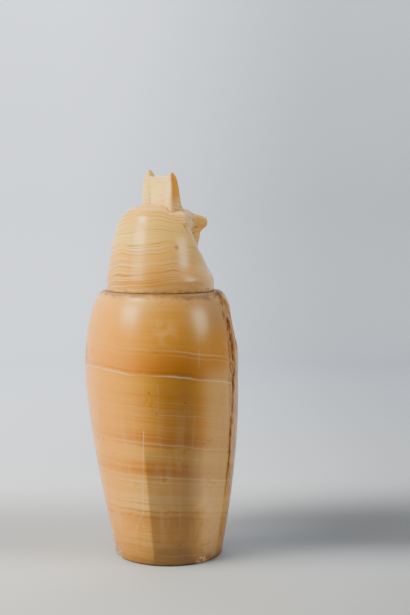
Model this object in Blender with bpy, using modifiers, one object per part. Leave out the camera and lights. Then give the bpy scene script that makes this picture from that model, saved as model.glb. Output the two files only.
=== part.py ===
"""An Egyptian canopic jar of banded calcite, with a lid carved as a jackal's head.

Two stones: the hollowed jar, and the solid lid whose round boss drops into the jar's mouth.
The jar stands on its underside. Z is up, the origin is on the mouth's axis at the level of
the underside, and the jackal looks along -Y. The jackal's right side is at -X.
"""

import math

import bmesh
import bpy
from mathutils import Matrix, Vector, noise

# Driving sizes of the jar, in metres.
JAR_HEIGHT = 0.3045
BASE_RADIUS = 0.0610
SHOULDER_RADIUS = 0.0877
SHOULDER_HEIGHT = 0.222
RIM_RADIUS = 0.0660
MOUTH_RADIUS = 0.045
MOUTH_DEPTH = 0.024
WALL = 0.018
FLOOR = 0.026
BASE_ROUNDING = 0.0045
FLOOR_FLAT_SHARE = 0.8
FLOOR_CORNER_SHARE = 0.4

# The jar was cut by eye: its lower half drifts off the mouth's axis, towards the front right.
BASE_DRIFT = 0.0080
DRIFT_TOP = 0.205
DRIFT_BEARING = 35.0

# Driving sizes of the lid, in metres. The boss and the foot follow the jar.
LID_HEIGHT = 0.1372
LID_SETBACK = 0.0036
BOSS_LENGTH = 0.014
BOSS_CLEARANCE = 0.0015
SEAT_GAP = 0.0003
WIG_STEP = 0.0026
WORN_EAR_LOSS = 0.0038

# The long break down the jar's right front.
BREAK_WIDTH = 0.0320
BREAK_DEPTH = 0.0034
BREAK_OVERRUN = 0.010
BREAK_LEVELS = 40

# The break's course: share of the jar's height, and degrees from the front.
BREAK_COURSE = (
    (0.00, 62.0),
    (0.05, 62.4),
    (0.17, 64.6),
    (0.31, 64.2),
    (0.53, 63.4),
    (0.60, 60.1),
    (0.69, 58.6),
    (0.75, 61.5),
    (0.88, 62.2),
    (1.00, 61.0),
)

# It is full above the shoulder, a crack below it, and finer still by the base: shares of its
# width, and of the shoulder's height.
BREAK_CRACK_SHARE = 0.30
BREAK_CRACK_SHARE_UP = 0.85
BREAK_FULL_SHARE_UP = 1.10
BREAK_FINE_SHARE = 0.50
BREAK_FINE_SHARE_UP = 0.27
BREAK_FINE_SHARE_END = 0.52

# Scars: bearing towards the jackal's right, height, width, tallness and depth. Each height is
# measured up from the rim, from the widest place or from the underside.
RIM_SCARS = {
    "shoulder_flake": (56.0, -0.0175, 0.022, 0.032, 0.0040),
    "rim_chip": (75.0, -0.0025, 0.012, 0.007, 0.0022),
}
SHOULDER_SCARS = {
    "shoulder_spall": (39.0, 0.044, 0.050, 0.058, 0.0064),
    "side_flake": (203.0, 0.012, 0.018, 0.040, 0.0011),
}
BASE_SCARS = {
    "base_chip": (203.0, 0.030, 0.014, 0.018, 0.0026),
    "left_edge_chip": (196.0, 0.004, 0.026, 0.020, 0.0026),
    "right_edge_chip": (88.0, 0.002, 0.024, 0.014, 0.0024),
}
SCAR_UNEVENNESS_SHARE = 0.16
SCAR_GRAIN = 1.7
SCAR_PROUD_SHARE = 0.15

# How finely the jar is cut, and how full its shoulder is.
JAR_STEPS = 56
SIDE_ROWS = 14
SHOULDER_ROWS = 10
HOLLOW_ROWS = 6
ARCH_ROWS = 4
ROUNDING_STEPS = 3
SHOULDER_FULLNESS = 1.8
DRIFT_CURVE = 1.4

SMOOTH_UP_TO = 35.0
JAR_COLOUR = (0.56, 0.30, 0.10)
LID_COLOUR = (0.66, 0.42, 0.17)
POLISH = 0.30

LID_RADIUS = RIM_RADIUS - LID_SETBACK
LID_FOOT = JAR_HEIGHT + SEAT_GAP


def blend(low, high, share):
    """A smooth step from low to high as share goes from 0 to 1."""
    t = min(1.0, max(0.0, share))
    return low + (high - low) * t * t * (3 - 2 * t)


def quarter_oval(share, fullness):
    """Falls from 1 to 0 along a quarter of a full oval as share goes from 0 to 1."""
    t = min(1.0, max(0.0, share))
    return (1 - t**fullness) ** (1 / fullness)


def bearing_direction(degrees):
    """The level direction at so many degrees from the front, towards the jackal's right."""
    angle = math.radians(degrees)
    return Vector((-math.sin(angle), -math.cos(angle), 0.0))


def drift(height):
    """How far the jar's centre is from the mouth's axis at this height."""
    share = min(1.0, max(0.0, height / DRIFT_TOP))
    return bearing_direction(DRIFT_BEARING) * BASE_DRIFT * (1 - share**DRIFT_CURVE)


def side_radius(height):
    """The outside below the shoulder: a quarter wave from the base to the widest place."""
    share = min(1.0, height / SHOULDER_HEIGHT)
    return BASE_RADIUS + (SHOULDER_RADIUS - BASE_RADIUS) * math.sin(share * math.pi / 2)


def shoulder_radius(height):
    """The outside above the widest place: a quarter oval that levels off at the rim."""
    share = (height - SHOULDER_HEIGHT) / (JAR_HEIGHT - SHOULDER_HEIGHT)
    return RIM_RADIUS + (SHOULDER_RADIUS - RIM_RADIUS) * quarter_oval(share, SHOULDER_FULLNESS)


def jar_radius(height):
    if height < SHOULDER_HEIGHT:
        return side_radius(height)
    return shoulder_radius(height)


def hollow_profile():
    """The inside, from the middle of its floor up the wall and out through the mouth."""
    shoulder_inside = JAR_HEIGHT - MOUTH_DEPTH
    points = [(0.0, FLOOR), (FLOOR_FLAT_SHARE * (side_radius(FLOOR) - WALL), FLOOR)]
    low = FLOOR + FLOOR_CORNER_SHARE * WALL
    for row in range(HOLLOW_ROWS + 1):
        height = low + (SHOULDER_HEIGHT - low) * row / HOLLOW_ROWS
        points.append((side_radius(height) - WALL, height))
    reach = SHOULDER_RADIUS - WALL - MOUTH_RADIUS
    for step in range(1, ARCH_ROWS):
        angle = math.pi / 2 * step / ARCH_ROWS
        height = SHOULDER_HEIGHT + (shoulder_inside - SHOULDER_HEIGHT) * math.sin(angle)
        points.append((MOUTH_RADIUS + reach * math.cos(angle), height))
    points.append((MOUTH_RADIUS, shoulder_inside))
    points.append((MOUTH_RADIUS, JAR_HEIGHT))
    return points


def outside_profile():
    """The outside, from the rim down the shoulder and the side to the middle of the underside."""
    points = []
    for row in range(SHOULDER_ROWS):
        angle = math.pi / 2 * (1 - row / SHOULDER_ROWS)
        height = SHOULDER_HEIGHT + (JAR_HEIGHT - SHOULDER_HEIGHT) * math.sin(angle)
        points.append((shoulder_radius(height), height))
    for row in range(SIDE_ROWS + 1):
        height = SHOULDER_HEIGHT + (BASE_ROUNDING - SHOULDER_HEIGHT) * row / SIDE_ROWS
        points.append((side_radius(height), height))
    edge = side_radius(BASE_ROUNDING) - BASE_ROUNDING
    for step in range(1, ROUNDING_STEPS + 1):
        angle = math.pi / 2 * step / ROUNDING_STEPS
        across = edge + BASE_ROUNDING * math.cos(angle)
        points.append((across, BASE_ROUNDING * (1 - math.sin(angle))))
    points.append((0.0, 0.0))
    return points


def stone(name, colour, roughness):
    """Polished calcite as one plain shader."""
    material = bpy.data.materials.new(name)
    material.use_nodes = True
    shader = material.node_tree.nodes["Principled BSDF"]
    shader.inputs["Base Color"].default_value = (*colour, 1.0)
    shader.inputs["Roughness"].default_value = roughness
    shader.inputs["Metallic"].default_value = 0.0
    return material


def add_object(name, mesh, collection):
    made = bpy.data.objects.new(name, mesh)
    collection.objects.link(made)
    return made


def add_shell(name, shell, collection):
    """Turns a bmesh into an object of its own, with its faces pointing out."""
    if shell.calc_volume(signed=True) < 0:
        bmesh.ops.reverse_faces(shell, faces=shell.faces)
    mesh = bpy.data.meshes.new(name)
    shell.to_mesh(mesh)
    shell.free()
    return add_object(name, mesh, collection)


def settled(obj):
    """Replaces an object's mesh by what its modifiers make of it."""
    graph = bpy.context.evaluated_depsgraph_get()
    mesh = bpy.data.meshes.new_from_object(obj.evaluated_get(graph))
    obj.modifiers.clear()
    obj.data = mesh
    return obj


def turned(name, profile, collection):
    """A closed turned body from a profile that runs down its outer side."""
    edges = [(i, i + 1) for i in range(len(profile) - 1)]
    mesh = bpy.data.meshes.new(name)
    mesh.from_pydata([(x, 0.0, z) for x, z in profile], edges, [])
    body = add_object(name, mesh, collection)
    screw = body.modifiers.new("turn", "SCREW")
    screw.steps = JAR_STEPS
    screw.render_steps = JAR_STEPS
    screw.use_merge_vertices = True
    screw.merge_threshold = 0.00005
    return settled(body)


def loft(name, rings, collection):
    """Skins a row of rings that have the same number of points, and closes both ends."""
    shell = bmesh.new()
    rows = [[shell.verts.new(point) for point in ring] for ring in rings]
    count = len(rows[0])
    for low, high in zip(rows, rows[1:]):
        for i in range(count):
            j = (i + 1) % count
            shell.faces.new((low[i], low[j], high[j], high[i]))
    shell.faces.new(list(reversed(rows[0])))
    shell.faces.new(rows[-1])
    bmesh.ops.triangulate(shell, faces=[f for f in shell.faces if len(f.verts) > 4])
    return add_shell(name, shell, collection)


def combine(body, tools, operation):
    """Joins a collection of tools to a body or cuts them from it. They stay as hidden helpers."""
    joint = body.modifiers.new(tools.name, "BOOLEAN")
    joint.operation = operation
    joint.operand_type = "COLLECTION"
    joint.collection = tools
    for tool in tools.objects:
        tool.hide_render = True
        tool.display_type = "WIRE"
    return settled(body)


def scar_cutter(name, bearing, height, size, collection):
    """An uneven lens that scoops a shell-shaped chip out of the jar's skin."""
    width, tall, depth = size
    level = bearing_direction(bearing)
    inside = min(JAR_HEIGHT, height)
    step = 0.001
    slope = (jar_radius(inside) - jar_radius(inside - step)) / step
    outward = (level - Vector((0, 0, slope))).normalized()
    skin = drift(height) + level * jar_radius(inside) + Vector((0, 0, height))
    across = outward.cross(Vector((0, 0, 1))).normalized()
    along = outward.cross(across)
    turn = Matrix((across, along, outward)).transposed()
    shell = bmesh.new()
    bmesh.ops.create_icosphere(shell, subdivisions=3, radius=1.0)
    for vertex in shell.verts:
        place = vertex.co * SCAR_GRAIN + Vector((bearing, 0, 0))
        uneven = 1 + SCAR_UNEVENNESS_SHARE * noise.noise(place)
        reach = Vector((vertex.co.x * width / 2, vertex.co.y * tall / 2, vertex.co.z * depth))
        vertex.co = skin + turn @ (reach * uneven) + outward * SCAR_PROUD_SHARE * depth
    return add_shell(name, shell, collection)


def break_opening(height):
    """The break's share of its full width and depth at this height."""
    climb = height / SHOULDER_HEIGHT
    upper = (climb - BREAK_CRACK_SHARE_UP) / (BREAK_FULL_SHARE_UP - BREAK_CRACK_SHARE_UP)
    lower = (climb - BREAK_FINE_SHARE_UP) / (BREAK_FINE_SHARE_END - BREAK_FINE_SHARE_UP)
    return blend(BREAK_CRACK_SHARE, 1.0, upper) * blend(BREAK_FINE_SHARE, 1.0, lower)


def break_bearing(height):
    """The bearing of the break's middle, straight from one place on its course to the next."""
    share = height / JAR_HEIGHT
    for (low, start), (high, end) in zip(BREAK_COURSE, BREAK_COURSE[1:]):
        if share <= high:
            return start + (end - start) * max(0.0, share - low) / (high - low)
    return BREAK_COURSE[-1][1]


def break_cutter(collection):
    """The long break: a ragged wedge that runs from the rim to the base in the outside."""
    rings = []
    for level in range(BREAK_LEVELS + 1):
        height = -BREAK_OVERRUN + (JAR_HEIGHT + 2 * BREAK_OVERRUN) * level / BREAK_LEVELS
        inside = min(JAR_HEIGHT, max(0.0, height))
        ragged = noise.noise(Vector((0.3, 0.7, height * 90)))
        frayed = noise.noise(Vector((5.1, 2.2, height * 70)))
        opened = break_opening(inside)
        radius = jar_radius(inside)
        middle = break_bearing(inside)
        half = math.degrees(0.5 * BREAK_WIDTH * opened * (1 + 0.3 * frayed) / radius)
        deep = radius - BREAK_DEPTH * opened * (1 + 0.4 * ragged)
        proud = radius + 0.5 * BREAK_WIDTH
        ring = []
        for turn, reach in ((-half, proud), (-0.5 * half, deep), (0.4 * half, deep), (half, proud)):
            level_point = drift(inside) + bearing_direction(middle + turn) * reach
            ring.append(level_point + Vector((0, 0, height)))
        rings.append(ring)
    return loft("long_break", rings, collection)


def make_jar(pieces, cutters):
    jar = turned("jar", hollow_profile() + outside_profile(), pieces)
    for vertex in jar.data.vertices:
        vertex.co += drift(vertex.co.z)
    places = ((JAR_HEIGHT, RIM_SCARS), (SHOULDER_HEIGHT, SHOULDER_SCARS), (0.0, BASE_SCARS))
    for level, scars in places:
        for name, (bearing, height, *size) in scars.items():
            scar_cutter(name, bearing, level + height, size, cutters)
    break_cutter(cutters)
    combine(jar, cutters, "DIFFERENCE")
    jar.data.materials.clear()
    jar.data.materials.append(stone("banded_calcite_jar", JAR_COLOUR, POLISH))
    return jar


# The lid is a free form: heights are shares of its height, the rest shares of its foot's radius.
TAPER_START_SHARE = 0.096
TAPER_SHARE = 0.374
DOME_START_SHARE = 0.388
CROWN_SHARE = 0.710
DOME_FULLNESS = 2.3
CROWN_SHIFT_SHARE = 0.224
SHIFT_START_SHARE = 0.417
SHIFT_RUN_SHARE = 0.2915
PINCH_SHARE = 0.085
PINCH_START_SHARE = 0.09
PINCH_FULL_SHARE = 0.24
PINCH_END_BEARING = 145.0

EDGE_LOW_BEARING = 63.0
EDGE_HIGH_BEARING = 88.0
EDGE_TURN_START_SHARE = 0.184
EDGE_TURN_END_SHARE = 0.563
EDGE_SLANT = 0.8

CHEST_TOP_SHARE = 0.065
NECK_LOW_SHARE = 0.280
NECK_HIGH_SHARE = 0.345
CHEST_AT_NECK_SHARE = 0.74
NECK_CORE_SHARE = 0.56
FACE_CORE_START_SHARE = 0.58
FACE_CORE_TOP_SHARE = 0.66
FACE_CORE_TIP_SHARE = 0.1

# Where the chest starts to swell out towards the wig's edge: bearings, and the heights between.
SWELL_LOW_BEARING = 30.0
SWELL_HIGH_BEARING = 46.0
SWELL_LOW_SHARE = 0.30
SWELL_HIGH_SHARE = 0.45

FRONT_COLUMNS = 8
BACK_COLUMNS = 15
FOOT_LEVELS = (0.0, 0.03, CHEST_TOP_SHARE)
SIDE_START_SHARE = 0.10
SIDE_LEVELS = 5
CHEEK_LEVELS = (0.312, NECK_HIGH_SHARE, DOME_START_SHARE, 0.42, 0.455)
DOME_LEVELS = 11


def lid_point(forward, right, up):
    """A place on the lid, from shares of the foot's radius and, for up, of the lid's height."""
    return Vector((-right * LID_RADIUS, -forward * LID_RADIUS, LID_FOOT + up * LID_HEIGHT))


def crown_shift(up):
    """The dome leans back: how far each level's centre lies behind the mouth's axis."""
    share = min(1.0, max(0.0, (up - SHIFT_START_SHARE) / SHIFT_RUN_SHARE))
    return CROWN_SHIFT_SHARE * share * share


def wig_radius(bearing, up):
    """A tapering bell with a domed top, drawn in a little towards its front edge."""
    taper = 1.0 - TAPER_SHARE * max(0.0, up - TAPER_START_SHARE)
    dome = quarter_oval((up - DOME_START_SHARE) / (CROWN_SHARE - DOME_START_SHARE), DOME_FULLNESS)
    pinch = blend(0.0, PINCH_SHARE, (up - PINCH_START_SHARE) / (PINCH_FULL_SHARE - PINCH_START_SHARE))
    edge = edge_bearing(up)
    fade = (bearing - edge) / (PINCH_END_BEARING - edge)
    return taper * dome * (1 - pinch * blend(1.0, 0.0, fade))


def edge_bearing(up):
    """Where the wig's front edge lies: on the chest low down, beside the ears high up."""
    share = (up - EDGE_TURN_START_SHARE) / (EDGE_TURN_END_SHARE - EDGE_TURN_START_SHARE)
    return blend(EDGE_LOW_BEARING, EDGE_HIGH_BEARING, share)


def chest_radius(up):
    """The front under the chin: upright at the foot, then sloping back to the neck."""
    if up < CHEST_TOP_SHARE:
        return 1.0
    if up < NECK_LOW_SHARE:
        return 1.0 + (CHEST_AT_NECK_SHARE - 1.0) * (up - CHEST_TOP_SHARE) / (NECK_LOW_SHARE - CHEST_TOP_SHARE)
    neck = blend(CHEST_AT_NECK_SHARE, NECK_CORE_SHARE, (up - NECK_LOW_SHARE) / (NECK_HIGH_SHARE - NECK_LOW_SHARE))
    closing = (up - FACE_CORE_START_SHARE) / (FACE_CORE_TOP_SHARE - FACE_CORE_START_SHARE)
    return neck * blend(1.0, FACE_CORE_TIP_SHARE, closing)


def front_radius(bearing, up):
    """The chest and the sides of the face, which rise to just under the wig's edge."""
    edge = edge_bearing(up)
    side = wig_radius(edge, up) - min(WIG_STEP / LID_RADIUS, 0.5 * wig_radius(edge, up))
    front = min(chest_radius(up), side)
    climb = (up - SWELL_LOW_SHARE) / (SWELL_HIGH_SHARE - SWELL_LOW_SHARE)
    start = blend(SWELL_LOW_BEARING, SWELL_HIGH_BEARING, climb)
    return front + (side - front) * blend(0.0, 1.0, (bearing - start) / (edge - start))


def bust_ring(up):
    """One level ring of the wig and chest, with a crisp step along the wig's edge."""
    edge = edge_bearing(up)
    half = []
    for column in range(FRONT_COLUMNS + 1):
        bearing = edge * column / FRONT_COLUMNS
        half.append((bearing, front_radius(bearing, up)))
    for column in range(BACK_COLUMNS + 1):
        bearing = edge + EDGE_SLANT + (180 - edge - EDGE_SLANT) * column / BACK_COLUMNS
        half.append((bearing, wig_radius(bearing, up)))
    whole = half + [(-bearing, radius) for bearing, radius in reversed(half[1:-1])]
    ring = []
    for bearing, radius in whole:
        angle = math.radians(bearing)
        forward = radius * math.cos(angle) - crown_shift(up)
        ring.append(lid_point(forward, radius * math.sin(angle), up))
    return ring


def level_ring(pattern, radius, height):
    """A round ring whose points stand at the same bearings as another ring's."""
    ring = []
    for point in pattern:
        level = Vector((point.x, point.y, 0.0)).normalized()
        ring.append(level * radius + Vector((0, 0, height)))
    return ring


def bust_levels():
    """Even steps up the sides, then closer and closer over the crown."""
    levels = [*FOOT_LEVELS, *CHEEK_LEVELS]
    for step in range(SIDE_LEVELS + 1):
        levels.append(SIDE_START_SHARE + (NECK_LOW_SHARE - SIDE_START_SHARE) * step / SIDE_LEVELS)
    for step in range(2, DOME_LEVELS):
        climb = math.sin(math.pi / 2 * step / DOME_LEVELS)
        levels.append(DOME_START_SHARE + (CROWN_SHARE - DOME_START_SHARE) * climb)
    return sorted(levels)


def make_bust(collection):
    """Wig, chest and the boss under them, skinned as one stack of rings."""
    rings = [bust_ring(up) for up in bust_levels()]
    boss = MOUTH_RADIUS - BOSS_CLEARANCE
    under = [
        level_ring(rings[0], boss, LID_FOOT - BOSS_LENGTH),
        level_ring(rings[0], boss, LID_FOOT),
    ]
    return loft("jackal_head_lid", under + rings, collection)


# Head stations from the nape to the nose: forward, half width, top, bottom, boxiness.
HEAD_STATIONS = (
    (-0.16, 0.64, 0.680, 0.40, 2.3),
    (0.05, 0.68, 0.688, 0.42, 2.3),
    (0.16, 0.61, 0.686, 0.435, 2.4),
    (0.32, 0.49, 0.682, 0.455, 2.6),
    (0.45, 0.375, 0.672, 0.472, 2.8),
    (0.55, 0.275, 0.658, 0.480, 2.8),
    (0.63, 0.205, 0.643, 0.490, 2.6),
    (0.75, 0.175, 0.629, 0.494, 2.6),
    (0.88, 0.160, 0.614, 0.498, 2.6),
    (0.955, 0.130, 0.605, 0.512, 2.4),
    (0.985, 0.080, 0.592, 0.533, 2.2),
)
# The lower jaw, shorter and a little narrower, so that the mouth shows as a line.
JAW_STATIONS = (
    (0.05, 0.52, 0.50, 0.425, 2.3),
    (0.32, 0.43, 0.52, 0.440, 2.4),
    (0.55, 0.235, 0.53, 0.456, 2.6),
    (0.72, 0.165, 0.53, 0.468, 2.6),
    (0.83, 0.130, 0.53, 0.474, 2.4),
    (0.88, 0.085, 0.52, 0.486, 2.2),
)
# The throat, from the chest to the chin: height, front reach, half width.
THROAT_LEVELS = (
    (0.20, 0.66, 0.62),
    (0.28, 0.69, 0.58),
    (0.335, 0.70, 0.50),
    (0.385, 0.755, 0.42),
    (0.44, 0.825, 0.33),
    (0.50, 0.855, 0.22),
)
THROAT_BACK_SHARE = 0.10
THROAT_BOXINESS = 2.2
RING_POINTS = 22

# Ear levels: height, back, front, inner side, outer side at the back, and in front.
EAR_LEVELS = (
    (0.560, -0.165, 0.215, 0.24, 0.56, 0.54),
    (0.635, -0.152, 0.184, 0.24, 0.505, 0.485),
    (0.694, -0.144, 0.145, 0.24, 0.480, 0.446),
    (0.759, -0.136, 0.120, 0.244, 0.464, 0.431),
    (0.825, -0.125, 0.110, 0.25, 0.456, 0.414),
    (0.883, -0.112, 0.097, 0.26, 0.439, 0.402),
    (0.927, -0.099, 0.080, 0.275, 0.416, 0.391),
    (0.960, -0.083, 0.056, 0.296, 0.397, 0.381),
    (0.985, -0.061, 0.024, 0.320, 0.378, 0.368),
    (1.0, -0.042, -0.006, 0.340, 0.362, 0.359),
)
EAR_CUP_SHARE = 0.07
EAR_CUP_START_SHARE = 0.66
EAR_CUP_FULL_SHARE = 0.74
EAR_CUP_FADE_SHARE = 0.85
EAR_CUP_END_SHARE = 0.97
EAR_WORN_FROM_SHARE = 0.80

WEB_BACK_SHARE = -0.082
WEB_FRONT_SHARE = 0.048
WEB_REACH_SHARE = 0.33
WEB_FOOT_SHARE = 0.58
WEB_TOP_SHARE = 0.938
WEB_BEVEL_SHARE = 0.02

EYE_PLACE_SHARES = (0.465, 0.375, 0.600)
EYE_SIZE_SHARES = (0.125, 0.035, 0.024)
EYE_TURN = 42.0
EYE_NARROWING_SHARE = 0.55


def oval(angle, boxiness):
    """A point on a rounded box of half width and half height 1."""
    c = math.cos(angle)
    s = math.sin(angle)
    power = 2 / boxiness
    return math.copysign(abs(c) ** power, c), math.copysign(abs(s) ** power, s)


def make_stations(name, stations, forms):
    """A form that runs forwards through upright rounded sections."""
    rings = []
    for forward, half, top, bottom, boxiness in stations:
        ring = []
        for step in range(RING_POINTS):
            across, along = oval(2 * math.pi * step / RING_POINTS, boxiness)
            up = (top + bottom) / 2 + along * (top - bottom) / 2
            ring.append(lid_point(forward, across * half, up))
        rings.append(ring)
    return loft(name, rings, forms)


def make_throat(forms):
    rings = []
    for up, reach, half in THROAT_LEVELS:
        ring = []
        for step in range(RING_POINTS):
            along, across = oval(2 * math.pi * step / RING_POINTS, THROAT_BOXINESS)
            forward = THROAT_BACK_SHARE + along * (reach - THROAT_BACK_SHARE)
            ring.append(lid_point(forward, across * half, up))
        rings.append(ring)
    return loft("throat", rings, forms)


def ear_ring(level, side, loss):
    """One level section of an ear: a rounded back, a flat side, and a cup that opens forwards."""
    up, back, front, inner, outer, outer_front = level
    middle = (inner + outer) / 2
    depth = front - back
    cup = EAR_CUP_SHARE * blend(0.0, 1.0, (up - EAR_CUP_START_SHARE) / (EAR_CUP_FULL_SHARE - EAR_CUP_START_SHARE))
    cup *= blend(1.0, 0.0, (up - EAR_CUP_FADE_SHARE) / (EAR_CUP_END_SHARE - EAR_CUP_FADE_SHARE))
    outline = (
        (back + 0.22 * depth, inner),
        (back + 0.05 * depth, 0.75 * inner + 0.25 * outer),
        (back, middle),
        (back + 0.02 * depth, 0.15 * inner + 0.85 * outer),
        (back + 0.14 * depth, outer),
        (back + 0.5 * depth, (outer + outer_front) / 2),
        (front, outer_front),
        (front - cup, 0.7 * outer_front + 0.3 * inner),
        (front - cup, 0.3 * outer_front + 0.7 * inner),
        (front - 0.08 * depth, inner),
    )
    height = up - loss * blend(0.0, 1.0, (up - EAR_WORN_FROM_SHARE) / (1 - EAR_WORN_FROM_SHARE))
    return [lid_point(forward, side * right, height) for forward, right in outline]


def make_ear(name, side, loss, forms):
    return loft(name, [ear_ring(level, side, loss) for level in EAR_LEVELS], forms)


def make_web(forms):
    """The thin wall of stone left standing between the ears."""
    rings = []
    for up, inset in ((WEB_FOOT_SHARE, 0.0), (WEB_TOP_SHARE - 0.5 * WEB_BEVEL_SHARE, 0.0), (WEB_TOP_SHARE, WEB_BEVEL_SHARE)):
        back = WEB_BACK_SHARE + inset
        front = WEB_FRONT_SHARE - inset
        corners = ((back, -WEB_REACH_SHARE), (back, WEB_REACH_SHARE), (front, WEB_REACH_SHARE), (front, -WEB_REACH_SHARE))
        rings.append([lid_point(forward, right, up) for forward, right in corners])
    return loft("web", rings, forms)


def make_eye(name, side, forms):
    """A long almond that stands a little proud of the cheek."""
    forward, right, up = EYE_PLACE_SHARES
    angle = math.radians(EYE_TURN)
    shell = bmesh.new()
    bmesh.ops.create_icosphere(shell, subdivisions=2, radius=1.0)
    for vertex in shell.verts:
        along = vertex.co.x * EYE_SIZE_SHARES[0]
        out = vertex.co.y * EYE_SIZE_SHARES[1]
        rise = vertex.co.z * EYE_SIZE_SHARES[2] * (1 - EYE_NARROWING_SHARE * vertex.co.x**2)
        ahead = forward + along * math.cos(angle) + out * math.sin(angle)
        beside = right - along * math.sin(angle) + out * math.cos(angle)
        vertex.co = lid_point(ahead, side * beside, up + rise)
    return add_shell(name, shell, forms)


def make_lid(pieces, forms):
    lid = make_bust(pieces)
    make_throat(forms)
    make_stations("jaw", JAW_STATIONS, forms)
    make_stations("head", HEAD_STATIONS, forms)
    make_eye("left_eye", -1, forms)
    make_eye("right_eye", 1, forms)
    make_web(forms)
    make_ear("left_ear", -1, 0.0, forms)
    make_ear("right_ear", 1, WORN_EAR_LOSS / LID_HEIGHT, forms)
    combine(lid, forms, "UNION")
    lid.data.materials.clear()
    lid.data.materials.append(stone("banded_calcite_lid", LID_COLOUR, POLISH))
    return lid


def main():
    for old in list(bpy.data.objects):
        bpy.data.objects.remove(old, do_unlink=True)
    pieces = bpy.data.collections.new("canopic_jar")
    cutters = bpy.data.collections.new("jar_cutters")
    forms = bpy.data.collections.new("lid_forms")
    for collection in (pieces, cutters, forms):
        bpy.context.scene.collection.children.link(collection)
    for piece in (make_jar(pieces, cutters), make_lid(pieces, forms)):
        piece.data.shade_smooth()
        piece.data.set_sharp_from_angle(angle=math.radians(SMOOTH_UP_TO))


main()
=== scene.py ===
# %% [markdown]
# # A canopic jar of banded calcite, with a jackal's head for its lid
# This lesson dresses a plain model of the jar. The fixed model gives the sizes. Each stone is
# then worked out again as a finer surface with numpy, scarred where the old jar is scarred, and
# given a material that is banded all the way through, as the real stone is.
# The jackal looks along -Y, its right side is at -X, and Z is up. Sizes are in metres.

# %% Load the fixed model
import itertools
import math

import bpy
import numpy as np
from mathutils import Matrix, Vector


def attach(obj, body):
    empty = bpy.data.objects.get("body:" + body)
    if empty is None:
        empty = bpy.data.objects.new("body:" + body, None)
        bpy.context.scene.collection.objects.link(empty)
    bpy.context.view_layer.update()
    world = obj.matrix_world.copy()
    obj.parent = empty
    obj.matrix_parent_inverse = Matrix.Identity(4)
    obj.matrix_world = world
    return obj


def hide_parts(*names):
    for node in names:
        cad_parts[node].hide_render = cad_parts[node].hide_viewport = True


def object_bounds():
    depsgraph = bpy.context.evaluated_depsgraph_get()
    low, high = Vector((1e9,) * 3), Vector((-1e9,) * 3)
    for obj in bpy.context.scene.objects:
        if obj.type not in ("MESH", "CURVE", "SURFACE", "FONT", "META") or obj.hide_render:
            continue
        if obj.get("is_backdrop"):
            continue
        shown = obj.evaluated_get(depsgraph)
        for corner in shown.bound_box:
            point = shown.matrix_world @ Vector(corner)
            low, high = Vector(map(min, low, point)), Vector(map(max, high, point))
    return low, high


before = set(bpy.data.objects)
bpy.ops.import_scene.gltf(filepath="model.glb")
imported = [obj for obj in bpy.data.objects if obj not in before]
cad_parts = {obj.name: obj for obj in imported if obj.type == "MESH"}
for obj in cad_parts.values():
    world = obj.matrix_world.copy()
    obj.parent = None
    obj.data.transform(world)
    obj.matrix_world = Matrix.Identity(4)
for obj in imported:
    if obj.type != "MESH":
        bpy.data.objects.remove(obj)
cad_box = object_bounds()
print("fixed model, mm:", [round(1000 * (b - a), 1) for a, b in zip(*cad_box)])

# %% [markdown]
# ## Small tools for surfaces
# Hand-worked stone is never quite even, and a break in it is ragged at every size. Both come
# from a smooth random field in space: random numbers on a lattice, blended inside each cell.
# The same field is read again at smaller cell sizes for finer roughness.


# %% Steps, curves and random fields
def smooth_step(low, high, value):
    """0 below low, 1 above high, and 3t^2 - 2t^3 between them."""
    t = np.clip((np.asarray(value, float) - low) / (high - low), 0.0, 1.0)
    return t * t * (3 - 2 * t)


def field(points, cell, seed):
    """Smooth noise from -1 to 1: hashed lattice numbers, blended by 3t^2 - 2t^3 on each axis."""
    spots = np.asarray(points) / cell
    low = np.floor(spots).astype(np.int64)
    t = spots - low
    t = t * t * (3 - 2 * t)
    total = np.zeros(spots.shape[:-1])
    for corner in itertools.product((0, 1), repeat=3):
        cells = low + corner
        mixed = cells[..., 0] * 73856093 ^ cells[..., 1] * 19349663 ^ cells[..., 2] * 83492791
        mixed = (mixed ^ (seed * 2654435761)) & 0xFFFFFFFF
        mixed = ((mixed ^ (mixed >> 15)) * 2246822519) & 0xFFFFFFFF
        mixed = ((mixed ^ (mixed >> 13)) * 3266489917) & 0xFFFFFFFF
        number = (mixed >> 16) / 32767.5 - 1.0
        total += number * np.prod(np.where(corner, t, 1 - t), axis=-1)
    return total


def layered(points, cell, seed, layers=3):
    """Sums the field at cell, cell/2, cell/4 and so on, each half as strong as the last."""
    total = np.zeros(np.shape(points)[:-1])
    for layer in range(layers):
        total += field(points, cell / 2**layer, seed + layer) / 2**layer
    return total


def through(table, places, closed=False):
    """A smooth curve through the rows of a table (Catmull-Rom), read at fractional row numbers."""
    table = np.asarray(table, float)
    count = len(table)
    low = np.floor(places).astype(int)
    if not closed:
        low = np.clip(low, 0, count - 2)
    t = (places - low)[:, None]
    rows = []
    for shift in (-1, 0, 1, 2):
        index = (low + shift) % count if closed else np.clip(low + shift, 0, count - 1)
        rows.append(table[index])
    a, b, c, d = rows
    return 0.5 * (2 * b + (c - a) * t + (2 * a - 5 * b + 4 * c - d) * t**2 + (3 * b - a - 3 * c + d) * t**3)


print("field check:", round(float(field(np.array([[0.3, 0.2, 0.1]]), 0.05, 7)[0]), 4))


# %% [markdown]
# ## From a grid of points to a mesh
# Most surfaces here are rows of rings stacked along the object. Neighbouring rings are joined by
# quads, and each end is closed by a fan of triangles to one point, so that the shell holds water.


# %% Skin a stack of rings
def ring_faces(rows, columns):
    """Quads between neighbouring rings, whose points are numbered row by row."""
    i, j = np.meshgrid(np.arange(rows - 1), np.arange(columns), indexing="ij")
    k = (j + 1) % columns
    quads = np.stack([i * columns + j, (i + 1) * columns + j, (i + 1) * columns + k, i * columns + k], -1)
    return quads.reshape(-1, 4)


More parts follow.
